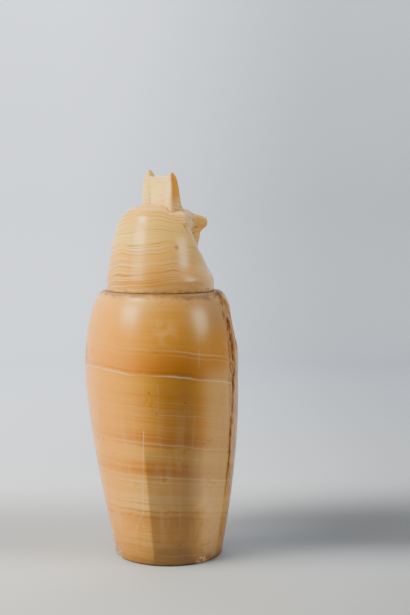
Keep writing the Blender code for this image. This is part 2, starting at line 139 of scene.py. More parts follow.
def closed_shell(rings, first_end, last_end):
    """Points, quads and triangles of a stack of rings that is closed to a point at both ends."""
    rows, columns = rings.shape[:2]
    points = np.concatenate([rings.reshape(-1, 3), [first_end], [last_end]])
    quads = ring_faces(rows, columns)
    j = np.arange(columns)
    k = (j + 1) % columns
    first = np.stack([np.full(columns, rows * columns), j, k], -1)
    last_row = (rows - 1) * columns
    last = np.stack([np.full(columns, rows * columns + 1), last_row + k, last_row + j], -1)
    fans = np.concatenate([first, last])
    halves = np.concatenate([quads[:, [0, 1, 2]], quads[:, [0, 2, 3]], fans])
    if np.linalg.det(points[halves]).sum() < 0:
        quads, fans = quads[:, ::-1], fans[:, ::-1]
    return points, quads, fans


def capped(rings):
    """The same, closed at the middle of the first ring and of the last."""
    return closed_shell(rings, rings[0].mean(0), rings[-1].mean(0))


def mesh_object(name, points, quads, fans):
    """One object at the origin from arrays of points and faces, shaded smooth."""
    mesh = bpy.data.meshes.new(name)
    mesh.from_pydata(points.tolist(), [], quads.tolist() + fans.tolist())
    mesh.shade_smooth()
    made = bpy.data.objects.new(name, mesh)
    bpy.context.scene.collection.objects.link(made)
    return made


def add_attribute(obj, name, values):
    """Stores one number for each point of the mesh, for the material to read."""
    layer = obj.data.attributes.new(name, "FLOAT", "POINT")
    layer.data.foreach_set("value", np.asarray(values, np.float32))


# %% [markdown]
# ## Scars
# A blow on calcite lifts off a shell-shaped flake and leaves a shallow hollow with faint ripples.
# Each scar is an uneven lens laid into the skin: points inside the lens move straight down onto
# its floor. How far a point moved is kept, because the fresh stone has its own colour.


# %% Press a scar into a surface
def scoop(points, centre, outward, size, seed):
    """Lens of half sizes width/2, tall/2 and depth: a point at (a, b) in it drops to -sqrt(1-a^2-b^2)."""
    width, tall, depth = size
    outward = np.asarray(outward, float) / np.linalg.norm(outward)
    across = np.cross(outward, (0.0, 0.0, 1.0))
    across /= np.linalg.norm(across)
    along = np.cross(outward, across)
    local = points - (np.asarray(centre) + outward * 0.15 * depth)
    uneven = 1 + 0.14 * layered(points, 0.35 * width, seed)
    a = local @ across / (0.5 * width * uneven)
    b = local @ along / (0.5 * tall * uneven)
    out = local @ outward / depth
    spread = a * a + b * b
    ripple = 1 + 0.05 * np.sin(16 * np.sqrt(spread)) + 0.10 * layered(points, 0.004, seed + 9)
    floor = -np.sqrt(np.clip(1 - spread, 0, 1)) * ripple
    inside = (spread < 1) & (out > floor) & (out < 2.5)
    drop = np.where(inside, (out - floor) * depth, 0.0)
    return points - drop[:, None] * outward, drop


# %% [markdown]
# ## The jar's form
# The jar widens from its foot in a quarter wave, turns in over the shoulder in a quarter oval and
# ends in a flat rim. Inside, it is hollowed to a wall of one thickness under a narrower mouth.
# It was cut by eye, so its lower part drifts a little off the mouth's axis.

# %% Sizes and outline of the jar
JAR_HEIGHT = 0.3045
BASE_RADIUS = 0.0610
SHOULDER_RADIUS = 0.0877
SHOULDER_HEIGHT = 0.222
RIM_RADIUS = 0.0660
MOUTH_RADIUS = 0.045
MOUTH_DEPTH = 0.024
WALL = 0.018
FLOOR = 0.026
ROUNDING = 0.0045
SHOULDER_OVAL = 1.8
BASE_DRIFT = 0.0080
DRIFT_BEARING = 35.0
DRIFT_TOP = 0.205
DRIFT_CURVE = 1.4


def level_direction(degrees):
    """The level direction at so many degrees from the front, towards the jackal's right."""
    angle = np.radians(degrees)
    return np.stack([-np.sin(angle), -np.cos(angle), np.zeros_like(angle)], -1)


def jar_radius(height):
    """Foot + rise * sin(90 degrees * share) below the shoulder, a quarter oval above it."""
    height = np.asarray(height, float)
    climbed = np.clip(height / SHOULDER_HEIGHT, 0, 1)
    low = BASE_RADIUS + (SHOULDER_RADIUS - BASE_RADIUS) * np.sin(climbed * math.pi / 2)
    share = np.clip((height - SHOULDER_HEIGHT) / (JAR_HEIGHT - SHOULDER_HEIGHT), 0, 1)
    high = RIM_RADIUS + (SHOULDER_RADIUS - RIM_RADIUS) * (1 - share**SHOULDER_OVAL) ** (1 / SHOULDER_OVAL)
    return np.where(height < SHOULDER_HEIGHT, low, high)


def drift(height):
    """BASE_DRIFT * (1 - share^DRIFT_CURVE) off the axis, the share climbed of DRIFT_TOP."""
    share = np.clip(np.asarray(height, float) / DRIFT_TOP, 0, 1)
    level = level_direction(np.full_like(share, DRIFT_BEARING))
    return level * (BASE_DRIFT * (1 - share**DRIFT_CURVE))[..., None]


def arc(count, first, last):
    """Cosine and sine of evenly spaced angles."""
    angles = np.radians(np.linspace(first, last, count))
    return np.cos(angles), np.sin(angles)


def jar_outline():
    """(radius, height) from the underside out, up the side, over the rim and down the hollow."""
    edge = jar_radius(ROUNDING) - ROUNDING
    c, s = arc(6, -90, -5)
    foot = [(r, 0.0) for r in np.linspace(0.006, edge - 0.001, 9)]
    corner = list(zip(edge + ROUNDING * c, ROUNDING * (1 + s)))
    side_heights = np.linspace(ROUNDING, SHOULDER_HEIGHT, 128)
    side = list(zip(jar_radius(side_heights), side_heights))
    fine = np.linspace(SHOULDER_HEIGHT, JAR_HEIGHT, 4000)
    length = np.concatenate([[0], np.cumsum(np.hypot(np.diff(jar_radius(fine)), np.diff(fine)))])
    shoulder_heights = np.interp(np.linspace(0, length[-1], 74)[1:], length, fine)
    shoulder = list(zip(jar_radius(shoulder_heights), shoulder_heights))
    rim = [(r, JAR_HEIGHT) for r in np.linspace(RIM_RADIUS, MOUTH_RADIUS, 14)[1:]]
    arch_height = JAR_HEIGHT - MOUTH_DEPTH
    mouth = [(MOUTH_RADIUS, z) for z in np.linspace(JAR_HEIGHT, arch_height, 7)[1:]]
    c, s = arc(9, 85, 0)
    reach = SHOULDER_RADIUS - WALL - MOUTH_RADIUS
    arch = list(zip(MOUTH_RADIUS + reach * c, SHOULDER_HEIGHT + (arch_height - SHOULDER_HEIGHT) * s))
    wall_heights = np.linspace(SHOULDER_HEIGHT, FLOOR + 0.4 * WALL, 16)[1:]
    wall = list(zip(jar_radius(wall_heights) - WALL, wall_heights))
    flat = 0.8 * (jar_radius(FLOOR) - WALL)
    floor = [(r, FLOOR) for r in np.linspace(flat, 0.006, 5)]
    outside = len(foot + corner + side + shoulder)
    return np.array(foot + corner + side + shoulder + rim + mouth + arch + wall + floor), outside


def jar_bearings():
    """Bearings round the jar, spaced closely across the break and the scarred shoulder.

    The share passed is the sum of sample/step, and even shares give the bearings.
    """
    sample, density = 0.25, 1.53
    every = np.arange(0, 360, sample)
    steps = np.full(every.shape, 2.2)
    steps[(every > 18) & (every < 54)] = 0.95
    steps[(every >= 54) & (every < 71)] = 0.42
    steps[(every >= 71) & (every < 150)] = 1.7
    steps[(every > 183) & (every < 208)] = 1.3
    share = np.cumsum(sample / steps)
    count = int(share[-1] * density)
    return np.interp(np.arange(count) * share[-1] / count, share, every + sample)


outline, outside_rows = jar_outline()
bearings = jar_bearings()
print("jar grid:", len(outline), "rows of", len(bearings))

# %% [markdown]
# ## The long break
# One break runs down the jar's right front from rim to foot. It is a broad ragged channel on the
# shoulder and a crack lower down. Its course is given as pairs of height and bearing, and its
# sides are steep.

# %% The break's course and depth
BREAK_COURSE = (
    (0.0, 62.0),
    (0.015, 62.4),
    (0.051, 64.6),
    (0.075, 64.6),
    (0.095, 64.2),
    (0.127, 63.8),
    (0.161, 63.4),
    (0.183, 60.1),
    (0.211, 58.6),
    (0.229, 61.5),
    (0.246, 61.7),
    (0.268, 62.2),
    (0.2967, 61.3),
    (0.3045, 61.0),
)
BREAK_WIDTH = 0.032
BREAK_DEPTH = 0.0034


def opened(height):
    """Share of the full width and depth: a crack below two thirds of the height, full above."""
    share = np.asarray(height, float) / JAR_HEIGHT
    return (0.30 + 0.70 * smooth_step(0.62, 0.80, share)) * (0.5 + 0.5 * smooth_step(0.20, 0.38, share))


def break_depth(points, turn, height):
    """BREAK_DEPTH * opened * left * right * rough: a trapezium with ragged sides and floor."""
    radius = jar_radius(height)
    middle = np.interp(height, *np.transpose(BREAK_COURSE))
    wide = opened(height) * BREAK_WIDTH * (1 + 0.25 * layered(points, 0.022, 31))
    away = (np.radians((turn - middle + 180) % 360 - 180)) * radius / (0.5 * wide)
    away = away + 0.30 * layered(points, 0.006, 41, 4) * np.minimum(1.0, 0.006 / wide)
    left = smooth_step(-0.64, -0.50, away)
    right = 1 - smooth_step(0.40, 0.54, away)
    rough = 1 + 0.45 * layered(points, 0.007, 51, 4)
    return np.clip(left * right, 0, 1) * BREAK_DEPTH * opened(height) * np.clip(rough, 0.15, 1.7)


# %% [markdown]
# The scars are given as bearing, height, width, tallness and depth, as on the fixed model.
# The tool that ground the jar left it very slightly uneven too, except on the flat of its foot.

# %% Build the jar's surface
JAR_SCARS = (
    (39.0, 0.266, 0.050, 0.058, 0.0064),
    (56.0, 0.287, 0.022, 0.032, 0.0040),
    (75.0, 0.302, 0.012, 0.007, 0.0022),
    (203.0, 0.234, 0.018, 0.040, 0.0011),
    (203.0, 0.030, 0.014, 0.018, 0.0026),
    (196.0, 0.004, 0.026, 0.020, 0.0026),
    (88.0, 0.002, 0.024, 0.014, 0.0024),
    (47.0, 0.247, 0.016, 0.022, 0.0018),
    (190.0, 0.012, 0.009, 0.016, 0.0015),
    (70.0, 0.288, 0.008, 0.011, 0.0011),
)


def make_jar():
    """The outline turned round the drifting axis, then pressed in.

    A point is axis + outward * radius + up * height, moved back along its normal by the
    unevenness and the depth of the break, and then by each scar.
    """
    turn, radius = np.meshgrid(bearings, outline[:, 0])
    height = np.broadcast_to(outline[:, 1][:, None], turn.shape)
    rows, columns = turn.shape
    outward = level_direction(turn)
    middle = drift(height)
    points = middle + outward * radius[..., None] + height[..., None] * (0, 0, 1)
    slope = np.gradient(outline, axis=0)
    normal = np.stack([slope[:, 1], -slope[:, 0]], -1)
    normal /= np.linalg.norm(normal, axis=1)[:, None]
    facing = outward * normal[:, 0][:, None, None] + normal[:, 1][:, None, None] * np.array([0, 0, 1.0])
    outer = (np.arange(rows) < outside_rows)[:, None]
    above_foot = smooth_step(0.0, 0.004, height)
    hand = 0.00012 * (1 + layered(points, 0.045, 3)) * outer * above_foot
    gap = break_depth(points, turn, height) * outer * smooth_step(RIM_RADIUS - 0.003, RIM_RADIUS, radius)
    points = (points - facing * (hand + gap)[..., None]).reshape(-1, 3)
    chipped = np.zeros(len(points))
    for number, (bearing, place, *size) in enumerate(JAR_SCARS):
        level = level_direction(np.array(bearing))
        lean = float(jar_radius(place) - jar_radius(place - 0.001)) / 0.001
        centre = drift(place) + level * float(jar_radius(place)) + np.array([0, 0, place])
        points, drop = scoop(points, centre, level - np.array([0, 0, lean]), size, 60 + 5 * number)
        chipped = np.maximum(chipped, drop)
    rings = points.reshape(rows, columns, 3)
    floor_middle = drift(FLOOR) + np.array([0, 0, FLOOR])
    points, quads, fans = closed_shell(rings, drift(0.0), floor_middle)
    made = mesh_object("calcite_jar", points, quads, fans)
    add_attribute(made, "broken", np.append(smooth_step(0.0003, 0.0012, gap.reshape(-1)), [0, 0]))
    add_attribute(made, "chipped", np.append(smooth_step(0.0001, 0.0006, chipped), [0, 0]))
    print("jar:", len(points), "points,", 2 * len(quads) + len(fans), "triangles")
    return made


jar = make_jar()

# %% [markdown]
# ## The lid's forms
# The lid is one stone, but it reads as several forms: the bell of the wig with the chest in front,
# the head, the lower jaw, the throat, two ears and the thin wall between them. Each is a stack of
# rings. They are run together later, as the carver did, so that no seam is left between them.

# %% Sizes and the wig
LID_HEIGHT = 0.1372
LID_RADIUS = RIM_RADIUS - 0.0036
LID_FOOT = JAR_HEIGHT + 0.0003
BOSS_RADIUS = MOUTH_RADIUS - 0.0015
BOSS_LENGTH = 0.014
CROWN = 0.710
DOME_FOOT = 0.388


def lid_points(forward, right, up):
    """Places on the lid, from shares of the foot's radius and, for up, of the lid's height."""
    forward, right, up = np.broadcast_arrays(forward, right, up)
    return np.stack([-right * LID_RADIUS, -forward * LID_RADIUS, LID_FOOT + up * LID_HEIGHT], -1)


def crown_shift(up):
    """The dome leans back by 0.224 of the square of the share climbed."""
    return 0.224 * np.clip((up - 0.417) / 0.2915, 0, 1) ** 2


def edge_bearing(up):
    """The wig's front edge: on the chest low down, beside the ears high up."""
    return 63 + 25 * smooth_step(0.184, 0.563, up)


def wig_radius(bearing, up):
    """A taper times an oval dome, drawn in by up to 0.085 towards the front edge."""
    taper = 1 - 0.374 * np.maximum(0, up - 0.096)
    share = np.clip((up - DOME_FOOT) / (CROWN - DOME_FOOT), 0, 1)
    dome = (1 - share**2.3) ** (1 / 2.3)
    edge = edge_bearing(up)
    pinch = 0.085 * smooth_step(0.09, 0.24, up) * (1 - smooth_step(0, 1, (bearing - edge) / (145 - edge)))
    return taper * dome * (1 - pinch)


def chest_radius(up):
    """Upright at the foot, sloping back to the neck, and closed under the face."""
    slope = 1 - 0.26 * (up - 0.065) / (0.280 - 0.065)
    neck = 0.74 - 0.18 * smooth_step(0.280, 0.345, up)
    neck = neck * (1 - 0.9 * smooth_step(0.58, 0.66, up))
    return np.where(up < 0.065, 1.0, np.where(up < 0.280, slope, neck))


def front_radius(bearing, up):
    """The chest, rising to just under the wig along the wig's edge."""
    edge = edge_bearing(up)
    at_edge = wig_radius(edge, up)
    side = at_edge - np.minimum(0.0026 / LID_RADIUS, 0.5 * at_edge)
    front = np.minimum(chest_radius(up), side)
    start = 30 + 16 * smooth_step(0.30, 0.45, up)
    return front + (side - front) * smooth_step(0, 1, (bearing - start) / (edge - start))


def make_bust():
    """Level rings of wig and chest, mirrored left to right, over three rings of the boss.

    Up the dome the rings lie at sin(90 degrees * share), so that they crowd at its top.
    """
    low = np.linspace(0, DOME_FOOT, 60)[:-1]
    dome = DOME_FOOT + (CROWN - DOME_FOOT) * np.sin(np.linspace(0, math.pi / 2, 60))[:-1]
    up = np.concatenate([low, dome])[:, None]
    edge = edge_bearing(up)
    front = edge * np.linspace(0, 1, 50)[None, :]
    back = edge + 0.8 + (180 - edge - 0.8) * np.linspace(0, 1, 90)[None, :]
    half = np.concatenate([front, back], 1)
    radius = np.concatenate([front_radius(front, up), wig_radius(back, up)], 1)
    turn = np.concatenate([half, -half[:, -2:0:-1]], 1)
    radius = np.concatenate([radius, radius[:, -2:0:-1]], 1)
    angle = np.radians(turn)
    rings = lid_points(radius * np.cos(angle) - crown_shift(up), radius * np.sin(angle), up)
    level = rings[0] * (1, 1, 0)
    level /= np.linalg.norm(level, axis=1)[:, None]
    under = [level * BOSS_RADIUS + np.array([0, 0, LID_FOOT - BOSS_LENGTH * share]) for share in (1, 0.5, 0)]
    rings = np.concatenate([under, rings])
    top = lid_points(-crown_shift(CROWN), 0.0, CROWN)
    return closed_shell(rings, (0, 0, LID_FOOT - BOSS_LENGTH), top)


# %% [markdown]
# The head, jaw and throat are rings that follow a short table of stations, with a smooth curve
# through it. Each ring is a rounded box: cosine and sine, raised to a power that squares them up.

# %% Head, jaw and throat
HEAD = (
    (-0.16, 0.64, 0.680, 0.40, 2.3),
    (0.05, 0.68, 0.688, 0.42, 2.3),
    (0.16, 0.61, 0.686, 0.435, 2.4),
    (0.32, 0.49, 0.682, 0.455, 2.6),
    (0.45, 0.375, 0.672, 0.472, 2.8),
    (0.55, 0.275, 0.658, 0.480, 2.8),
    (0.63, 0.205, 0.643, 0.490, 2.6),
    (0.75, 0.175, 0.629, 0.494, 2.6),
    (0.88, 0.160, 0.614, 0.498, 2.6),
    (0.955, 0.130, 0.605, 0.512, 2.4),
    (0.985, 0.080, 0.592, 0.533, 2.2),
)
JAW = (
    (0.05, 0.52, 0.50, 0.425, 2.3),
    (0.32, 0.43, 0.52, 0.440, 2.4),
    (0.55, 0.235, 0.53, 0.456, 2.6),
    (0.72, 0.165, 0.53, 0.468, 2.6),
    (0.83, 0.130, 0.53, 0.474, 2.4),
    (0.88, 0.085, 0.52, 0.486, 2.2),
)
THROAT = (
    (0.20, 0.66, 0.62),
    (0.28, 0.69, 0.58),
    (0.335, 0.70, 0.50),
    (0.385, 0.755, 0.42),
    (0.44, 0.825, 0.33),
    (0.50, 0.855, 0.22),
)


def rounded(count, boxiness):
    """Points round an oval: sign(cos)|cos|^(2/b) across and sign(sin)|sin|^(2/b) along."""
    angle = np.linspace(0, 2 * math.pi, count, endpoint=False)
    c, s = np.cos(angle), np.sin(angle)
    return np.sign(c) * np.abs(c) ** (2 / boxiness), np.sign(s) * np.abs(s) ** (2 / boxiness)


def station_shell(table, count):
    """Upright rings that run forwards through the table's stations."""
    rows = through(table, np.linspace(0, len(table) - 1, count))
    forward, half, top, bottom, boxiness = rows.T[:, :, None]
    across, along = rounded(72, boxiness)
    rings = lid_points(forward, across * half, (top + bottom) / 2 + along * (top - bottom) / 2)
    return capped(rings)


def throat_shell():
    """Level rings from the chest up to the chin."""
    up, reach, half = through(THROAT, np.linspace(0, len(THROAT) - 1, 40)).T[:, :, None]
    along, across = rounded(72, 2.2)
    start = 0.10
    return capped(lid_points(start + along * (reach - start), across * half, up))


# %% [markdown]
# An ear is a tall cone, rounded behind, flat inside and hollowed in front. The wall of stone
# between the ears was left standing, because an ear on its own would have snapped off.

# %% Ears, the wall between them, and the eyes
EARS = (
    (0.560, -0.165, 0.215, 0.24, 0.56, 0.54),
    (0.635, -0.152, 0.184, 0.24, 0.505, 0.485),
    (0.694, -0.144, 0.145, 0.24, 0.480, 0.446),
    (0.759, -0.136, 0.120, 0.244, 0.464, 0.431),
    (0.825, -0.125, 0.110, 0.25, 0.456, 0.414),
    (0.883, -0.112, 0.097, 0.26, 0.439, 0.402),
    (0.927, -0.099, 0.080, 0.275, 0.416, 0.391),
    (0.960, -0.083, 0.056, 0.296, 0.397, 0.381),
    (0.985, -0.061, 0.024, 0.320, 0.378, 0.368),
    (1.0, -0.042, -0.006, 0.340, 0.362, 0.359),
)


def ear_shell(side, worn):
    """Level rings through ten corner points each, with a smooth closed curve through them."""
    levels = through(EARS, np.linspace(0, len(EARS) - 1, 64))
    rings = []
    for up, back, front, inner, outer, outer_front in levels:
        deep = front - back
        cup = 0.07 * float(smooth_step(0.66, 0.74, up) * (1 - smooth_step(0.85, 0.97, up)))
        corners = (
            (back + 0.22 * deep, inner),
            (back + 0.05 * deep, 0.75 * inner + 0.25 * outer),
            (back, 0.5 * (inner + outer)),
            (back + 0.02 * deep, 0.15 * inner + 0.85 * outer),
            (back + 0.14 * deep, outer),
            (back + 0.5 * deep, 0.5 * (outer + outer_front)),
            (front, outer_front),
            (front - cup, 0.7 * outer_front + 0.3 * inner),
            (front - cup, 0.3 * outer_front + 0.7 * inner),
            (front - 0.08 * deep, inner),
        )
        curve = through(corners, np.arange(0, 10, 0.2), closed=True)
        height = up - worn * float(smooth_step(0.80, 1.0, up))
        rings.append(lid_points(curve[:, 0], side * curve[:, 1], height))
    return capped(np.array(rings))


def web_shell():
    """A plain bevelled wall from ear to ear."""
    rings = []
    across = 0.33 * np.array([-1, 1, 1, -1])
    for up, inset in ((0.58, 0.0), (0.75, 0.0), (0.928, 0.0), (0.938, 0.02)):
        back, front = -0.082 + inset, 0.048 - inset
        rings.append(lid_points(np.array([back, back, front, front]), across, up))
    return capped(np.array(rings))


def eye_shell(side):
    """An almond: an oval whose height narrows by 0.55 of the square of the way to its corners."""
    tilt, turn = np.meshgrid(np.linspace(-80, 80, 17), np.arange(0, 360, 15), indexing="ij")
    tilt, turn = np.radians(tilt), np.radians(turn)
    along, out, rise = np.sin(tilt), np.cos(tilt) * np.cos(turn), np.cos(tilt) * np.sin(turn)
    c, s = math.cos(math.radians(42)), math.sin(math.radians(42))
    ahead = 0.465 + 0.125 * along * c + 0.035 * out * s
    beside = 0.375 - 0.125 * along * s + 0.035 * out * c
    return capped(lid_points(ahead, side * beside, 0.600 + 0.024 * rise * (1 - 0.55 * along**2)))


# %% [markdown]
# ## Running the forms together
# A voxel remesh wraps one even skin round all the forms at once, which rounds the inner corners
# slightly, as abrasive and water did on the real one. A little relaxing then takes the
# staircase out of the skin: each point moves towards the mean of its neighbours.


# %% Join, remesh and relax
def joined(name, shells):
    """Several closed shells as one object."""
    points, quads, fans, start = [], [], [], 0
    for p, q, f in shells:
        points.append(p)
        quads.append(q + start)
        fans.append(f + start)
        start += len(p)
    return mesh_object(name, np.concatenate(points), np.concatenate(quads), np.concatenate(fans))


def one_skin(obj, voxel):
    """Replaces the object's mesh by an even skin round it."""
    wrap = obj.modifiers.new("one skin", "REMESH")
    wrap.mode = "VOXEL"
    wrap.voxel_size = voxel
    wrap.use_smooth_shade = True
    graph = bpy.context.evaluated_depsgraph_get()
    mesh = bpy.data.meshes.new_from_object(obj.evaluated_get(graph))
    obj.modifiers.clear()
    obj.data = mesh
    return obj


def read_points(mesh):
    """The mesh's points, one row each."""
    flat = np.empty(3 * len(mesh.vertices), np.float32)
    mesh.vertices.foreach_get("co", flat)
    return flat.reshape(-1, 3).astype(float)


def write_points(mesh, points):
    """Moves the mesh's points to the given rows."""
    mesh.vertices.foreach_set("co", points.astype(np.float32).ravel())
    mesh.update()


def relaxed(mesh, points, rounds, strength, back=0.9):
    """Each round moves a point by strength times the way to the mean of its neighbours, and
    every other round by back times as much the other way, so that the whole doesn't shrink."""
    pairs = np.empty(2 * len(mesh.edges), np.int32)
    mesh.edges.foreach_get("vertices", pairs)
    a, b = pairs.reshape(-1, 2).T
    links = np.bincount(a, minlength=len(points)) + np.bincount(b, minlength=len(points))
    for step in range(rounds):
        push = strength if step % 2 == 0 else -strength * back
        mean = np.empty_like(points)
        for axis in range(3):
            total = np.bincount(a, points[b, axis], len(points))
            total += np.bincount(b, points[a, axis], len(points))
            mean[:, axis] = total / links
        points = points + push * (mean - points)
    return points


# %% [markdown]
# The hollows are painted darker, as shade. A point lies in one where a strongly smoothed copy of the
# surface passes above it, and the height of that copy along the normal says how deep it lies.


# %% Find the hollows
def hollows(mesh, points):
    """(smoothed - point) . normal: positive in a hollow, negative on a ridge."""
    smooth = relaxed(mesh, points, 30, 0.6, back=0.0)
    facing = np.empty(3 * len(points), np.float32)
    mesh.vertex_normals.foreach_get("vector", facing)
    return ((smooth - points) * facing.reshape(-1, 3)).sum(1)


# %% [markdown]
# ## Wear on the lid
# The lid's lower edge is nibbled all round where it has knocked against the rim. Each chip is a
# lens, as on the jar, given as bearing, height, width, tallness and depth. The right ear has lost
# almost 4 mm of its tip.

# %% Build the lid
LID_CHIPS = (
    (138.0, 0.3052, 0.011, 0.0040, 0.0012),
    (126.0, 0.3050, 0.016, 0.0052, 0.0013),
    (112.0, 0.3048, 0.010, 0.0036, 0.0010),
    (100.0, 0.3050, 0.014, 0.0056, 0.0014),
    (88.0, 0.3049, 0.009, 0.0040, 0.0012),
    (70.0, 0.3060, 0.016, 0.0110, 0.0020),
    (56.0, 0.3049, 0.012, 0.0050, 0.0014),
    (160.0, 0.3050, 0.012, 0.0036, 0.0009),
    (190.0, 0.3050, 0.014, 0.0044, 0.0011),
    (228.0, 0.3050, 0.010, 0.0036, 0.0010),
    (262.0, 0.3050, 0.013, 0.0048, 0.0012),
    (300.0, 0.3050, 0.010, 0.0040, 0.0011),
    (340.0, 0.3050, 0.012, 0.0042, 0.0011),
)
LOST_TIP = 0.0038
VOXEL = 0.00088


def make_lid():
    """All forms under one skin, relaxed, chipped, and measured for hollows and ridges."""
    shells = [make_bust(), throat_shell(), station_shell(JAW, 60), station_shell(HEAD, 90)]
    shells += [eye_shell(-1), eye_shell(1), web_shell()]
    shells += [ear_shell(-1, 0.0), ear_shell(1, LOST_TIP / LID_HEIGHT)]
    lid = one_skin(joined("calcite_lid", shells), VOXEL)
    points = relaxed(lid.data, read_points(lid.data), 8, 0.5)
    chipped = np.zeros(len(points))
    for number, (bearing, place, *size) in enumerate(LID_CHIPS):
        level = level_direction(np.array(bearing))
        centre = level * 0.0622 + np.array([0, 0, place])
        points, drop = scoop(points, centre, level - np.array([0, 0, 0.35]), size, 160 + 5 * number)
        chipped = np.maximum(chipped, drop)
    write_points(lid.data, points)
    add_attribute(lid, "chipped", smooth_step(0.0001, 0.0005, chipped))
    deep = hollows(lid.data, points)
    add_attribute(lid, "hollow", smooth_step(0.00004, 0.00045, deep))
    add_attribute(lid, "ridge", smooth_step(0.00006, 0.00050, -deep))
    print("hollows up to", round(1000 * float(deep.max()), 2), "mm")
    lid.data.calc_loop_triangles()
    print("lid:", len(points), "points,", len(lid.data.loop_triangles), "triangles")
    return lid


lid = make_lid()

# %% [markdown]
# ## Shader tools
# A shader tree is easier to read as sums. `Wire` stands for one number that flows through the
# tree, and arithmetic on it adds Math nodes. `Bench` adds any other node from its settings and
# the values of its sockets.


# %% Wires
class Wire:
    """One number in a shader tree. Sums, differences, products and so on add Math nodes."""

    def __init__(self, bench, socket):
        self.bench = bench
        self.socket = socket

    def math(self, operation, first, second=None):
        values = {0: first} if second is None else {0: first, 1: second}
        return self.bench.node("ShaderNodeMath", {"operation": operation}, values)

    def __add__(self, other):
        return self.math("ADD", self, other)

    def __radd__(self, other):
        return self.math("ADD", other, self)

    def __sub__(self, other):
        return self.math("SUBTRACT", self, other)

    def __rsub__(self, other):
        return self.math("SUBTRACT", other, self)

    def __mul__(self, other):
        return self.math("MULTIPLY", self, other)

    def __rmul__(self, other):
        return self.math("MULTIPLY", other, self)

    def __truediv__(self, other):
        return self.math("DIVIDE", self, other)

    def __pow__(self, other):
        return self.math("POWER", self, other)

    def __neg__(self):
        return self.math("MULTIPLY", self, -1.0)

    def __abs__(self):
        return self.math("ABSOLUTE", self)

    def most(self, other):
        return self.math("MAXIMUM", self, other)

    def least(self, other):
        return self.math("MINIMUM", self, other)

    def step(self, low, high):
        """0 at low, 1 at high, eased at both ends."""
        settings = {"interpolation_type": "SMOOTHSTEP"}
        sockets = {0: self, 1: low, 2: high, 3: 0.0, 4: 1.0}
        return self.bench.node("ShaderNodeMapRange", settings, sockets)

    def within(self, rise, fall):
        """1 between two steps: up over the pair rise, and down again over the pair fall."""
        return self.step(*rise) * (1 - self.step(*fall))


# %% [markdown]
# The bench keeps the place on the object, and the height in millimetres, ready for every material.


# %% The bench
class Bench:
    """One material's node tree, and the few ways of adding to it."""

    def __init__(self, name):
        self.material = bpy.data.materials.new(name)
        self.material.use_nodes = True
        self.tree = self.material.node_tree
        self.shader = self.tree.nodes["Principled BSDF"]
        self.place = self.node("ShaderNodeTexCoord", {}, {}, "Object")
        self.mm = self.along((0.0, 0.0, 1.0)) * 1000.0

    def join(self, socket, value):
        """Links a wire to a socket, or sets any other value on it."""
        if isinstance(value, Wire):
            self.tree.links.new(value.socket, socket)
        else:
            socket.default_value = value

    def node(self, kind, settings, values, output=0):
        """Adds a node: settings first, a ramp's stops among them, then its sockets."""
        made = self.tree.nodes.new(kind)
        for key, value in settings.items():
            if key == "stops":
                self.set_stops(made.color_ramp, value)
            else:
                setattr(made, key, value)
        for key, value in values.items():
            self.join(made.inputs[key], value)
        return Wire(self, made.outputs[output])

    def set_stops(self, ramp, stops):
        """Gives a ramp its pairs of position and colour."""
        while len(ramp.elements) < len(stops):
            ramp.elements.new(1.0)
        for element, (position, colour) in zip(ramp.elements, stops):
            element.position = position
            element.color = (*colour, 1.0)

    def blend(self, share, low, high):
        """A colour between low and high."""
        low = low if isinstance(low, Wire) else (*low, 1.0)
        high = high if isinstance(high, Wire) else (*high, 1.0)
        settings = {"data_type": "RGBA"}
        return self.node("ShaderNodeMix", settings, {0: share, 6: low, 7: high}, 2)

    def multiply_tint(self, share, colour, tint):
        """A colour multiplied by a tint, for stains and for painted shade, so that a pattern under it keeps its
        contrast.
        """
        settings = {"data_type": "RGBA", "blend_type": "MULTIPLY"}
        return self.node("ShaderNodeMix", settings, {0: share, 6: colour, 7: (*tint, 1.0)}, 2)

    def along(self, direction):
        """Distance along a direction: the dot product of the place and the direction."""
        settings = {"operation": "DOT_PRODUCT"}
        return self.node("ShaderNodeVectorMath", settings, {0: self.place, 1: direction}, 1)

    def towards(self, degrees):
        """Distance from the middle towards a bearing."""
        return self.along(tuple(level_direction(np.array(degrees))))

    def noise(self, scale, detail=2.0, stretch=(1.0, 1.0, 1.0)):
        """Noise around 0.5 on the object's own coordinates, stretched first."""
        place = self.node("ShaderNodeMapping", {}, {"Vector": self.place, "Scale": stretch})
        return self.node("ShaderNodeTexNoise", {}, {"Vector": place, "Scale": scale, "Detail": detail})

    def noise_along(self, height, scale, detail):
        """Noise around 0.5 that changes with one number alone."""
        sockets = {"W": height, "Scale": scale, "Detail": detail}
        return self.node("ShaderNodeTexNoise", {"noise_dimensions": "1D"}, sockets)

    def attribute(self, name):
        """A number that was stored on the mesh's points."""
        return self.node("ShaderNodeAttribute", {"attribute_name": name}, {}, "Fac")

    def near(self, centre, radius, softness=0.4):
        """1 inside a ball round a point, fading out at its edge."""
        settings = {"operation": "DISTANCE"}
        far = self.node("ShaderNodeVectorMath", settings, {0: self.place, 1: centre}, 1)
        return 1 - far.step(radius * (1 - softness), radius * (1 + softness))


# %% [markdown]
# ## Banded calcite
# The stone grew in layers, so its bands are nearly flat sheets that run right through the block.
# They are tilted, and where a curved side cuts them they show as gently falling lines. The height
# of a point above the lowest sheet, along the sheets' own normal, therefore gives its colour.
# Slow noise bends the sheets, and noise along the normal alone gives the thin laminae.


# %% Colours across the sheets
def ramp_over(bench, height, low, high, stops):
    """A colour ramp over heights in millimetres."""
    share = (height * 1000.0 - low) / (high - low)
    scaled = [((at - low) / (high - low), colour) for at, colour in stops]
    return bench.node("ShaderNodeValToRGB", {"stops": scaled}, {0: share})


def sheet_line(height, at, width):
    """1 on a thin sheet at a height, 0 beyond its half width, both in millimetres."""
    return 1 - abs(height * 1000.0 - at).step(0.0, width)


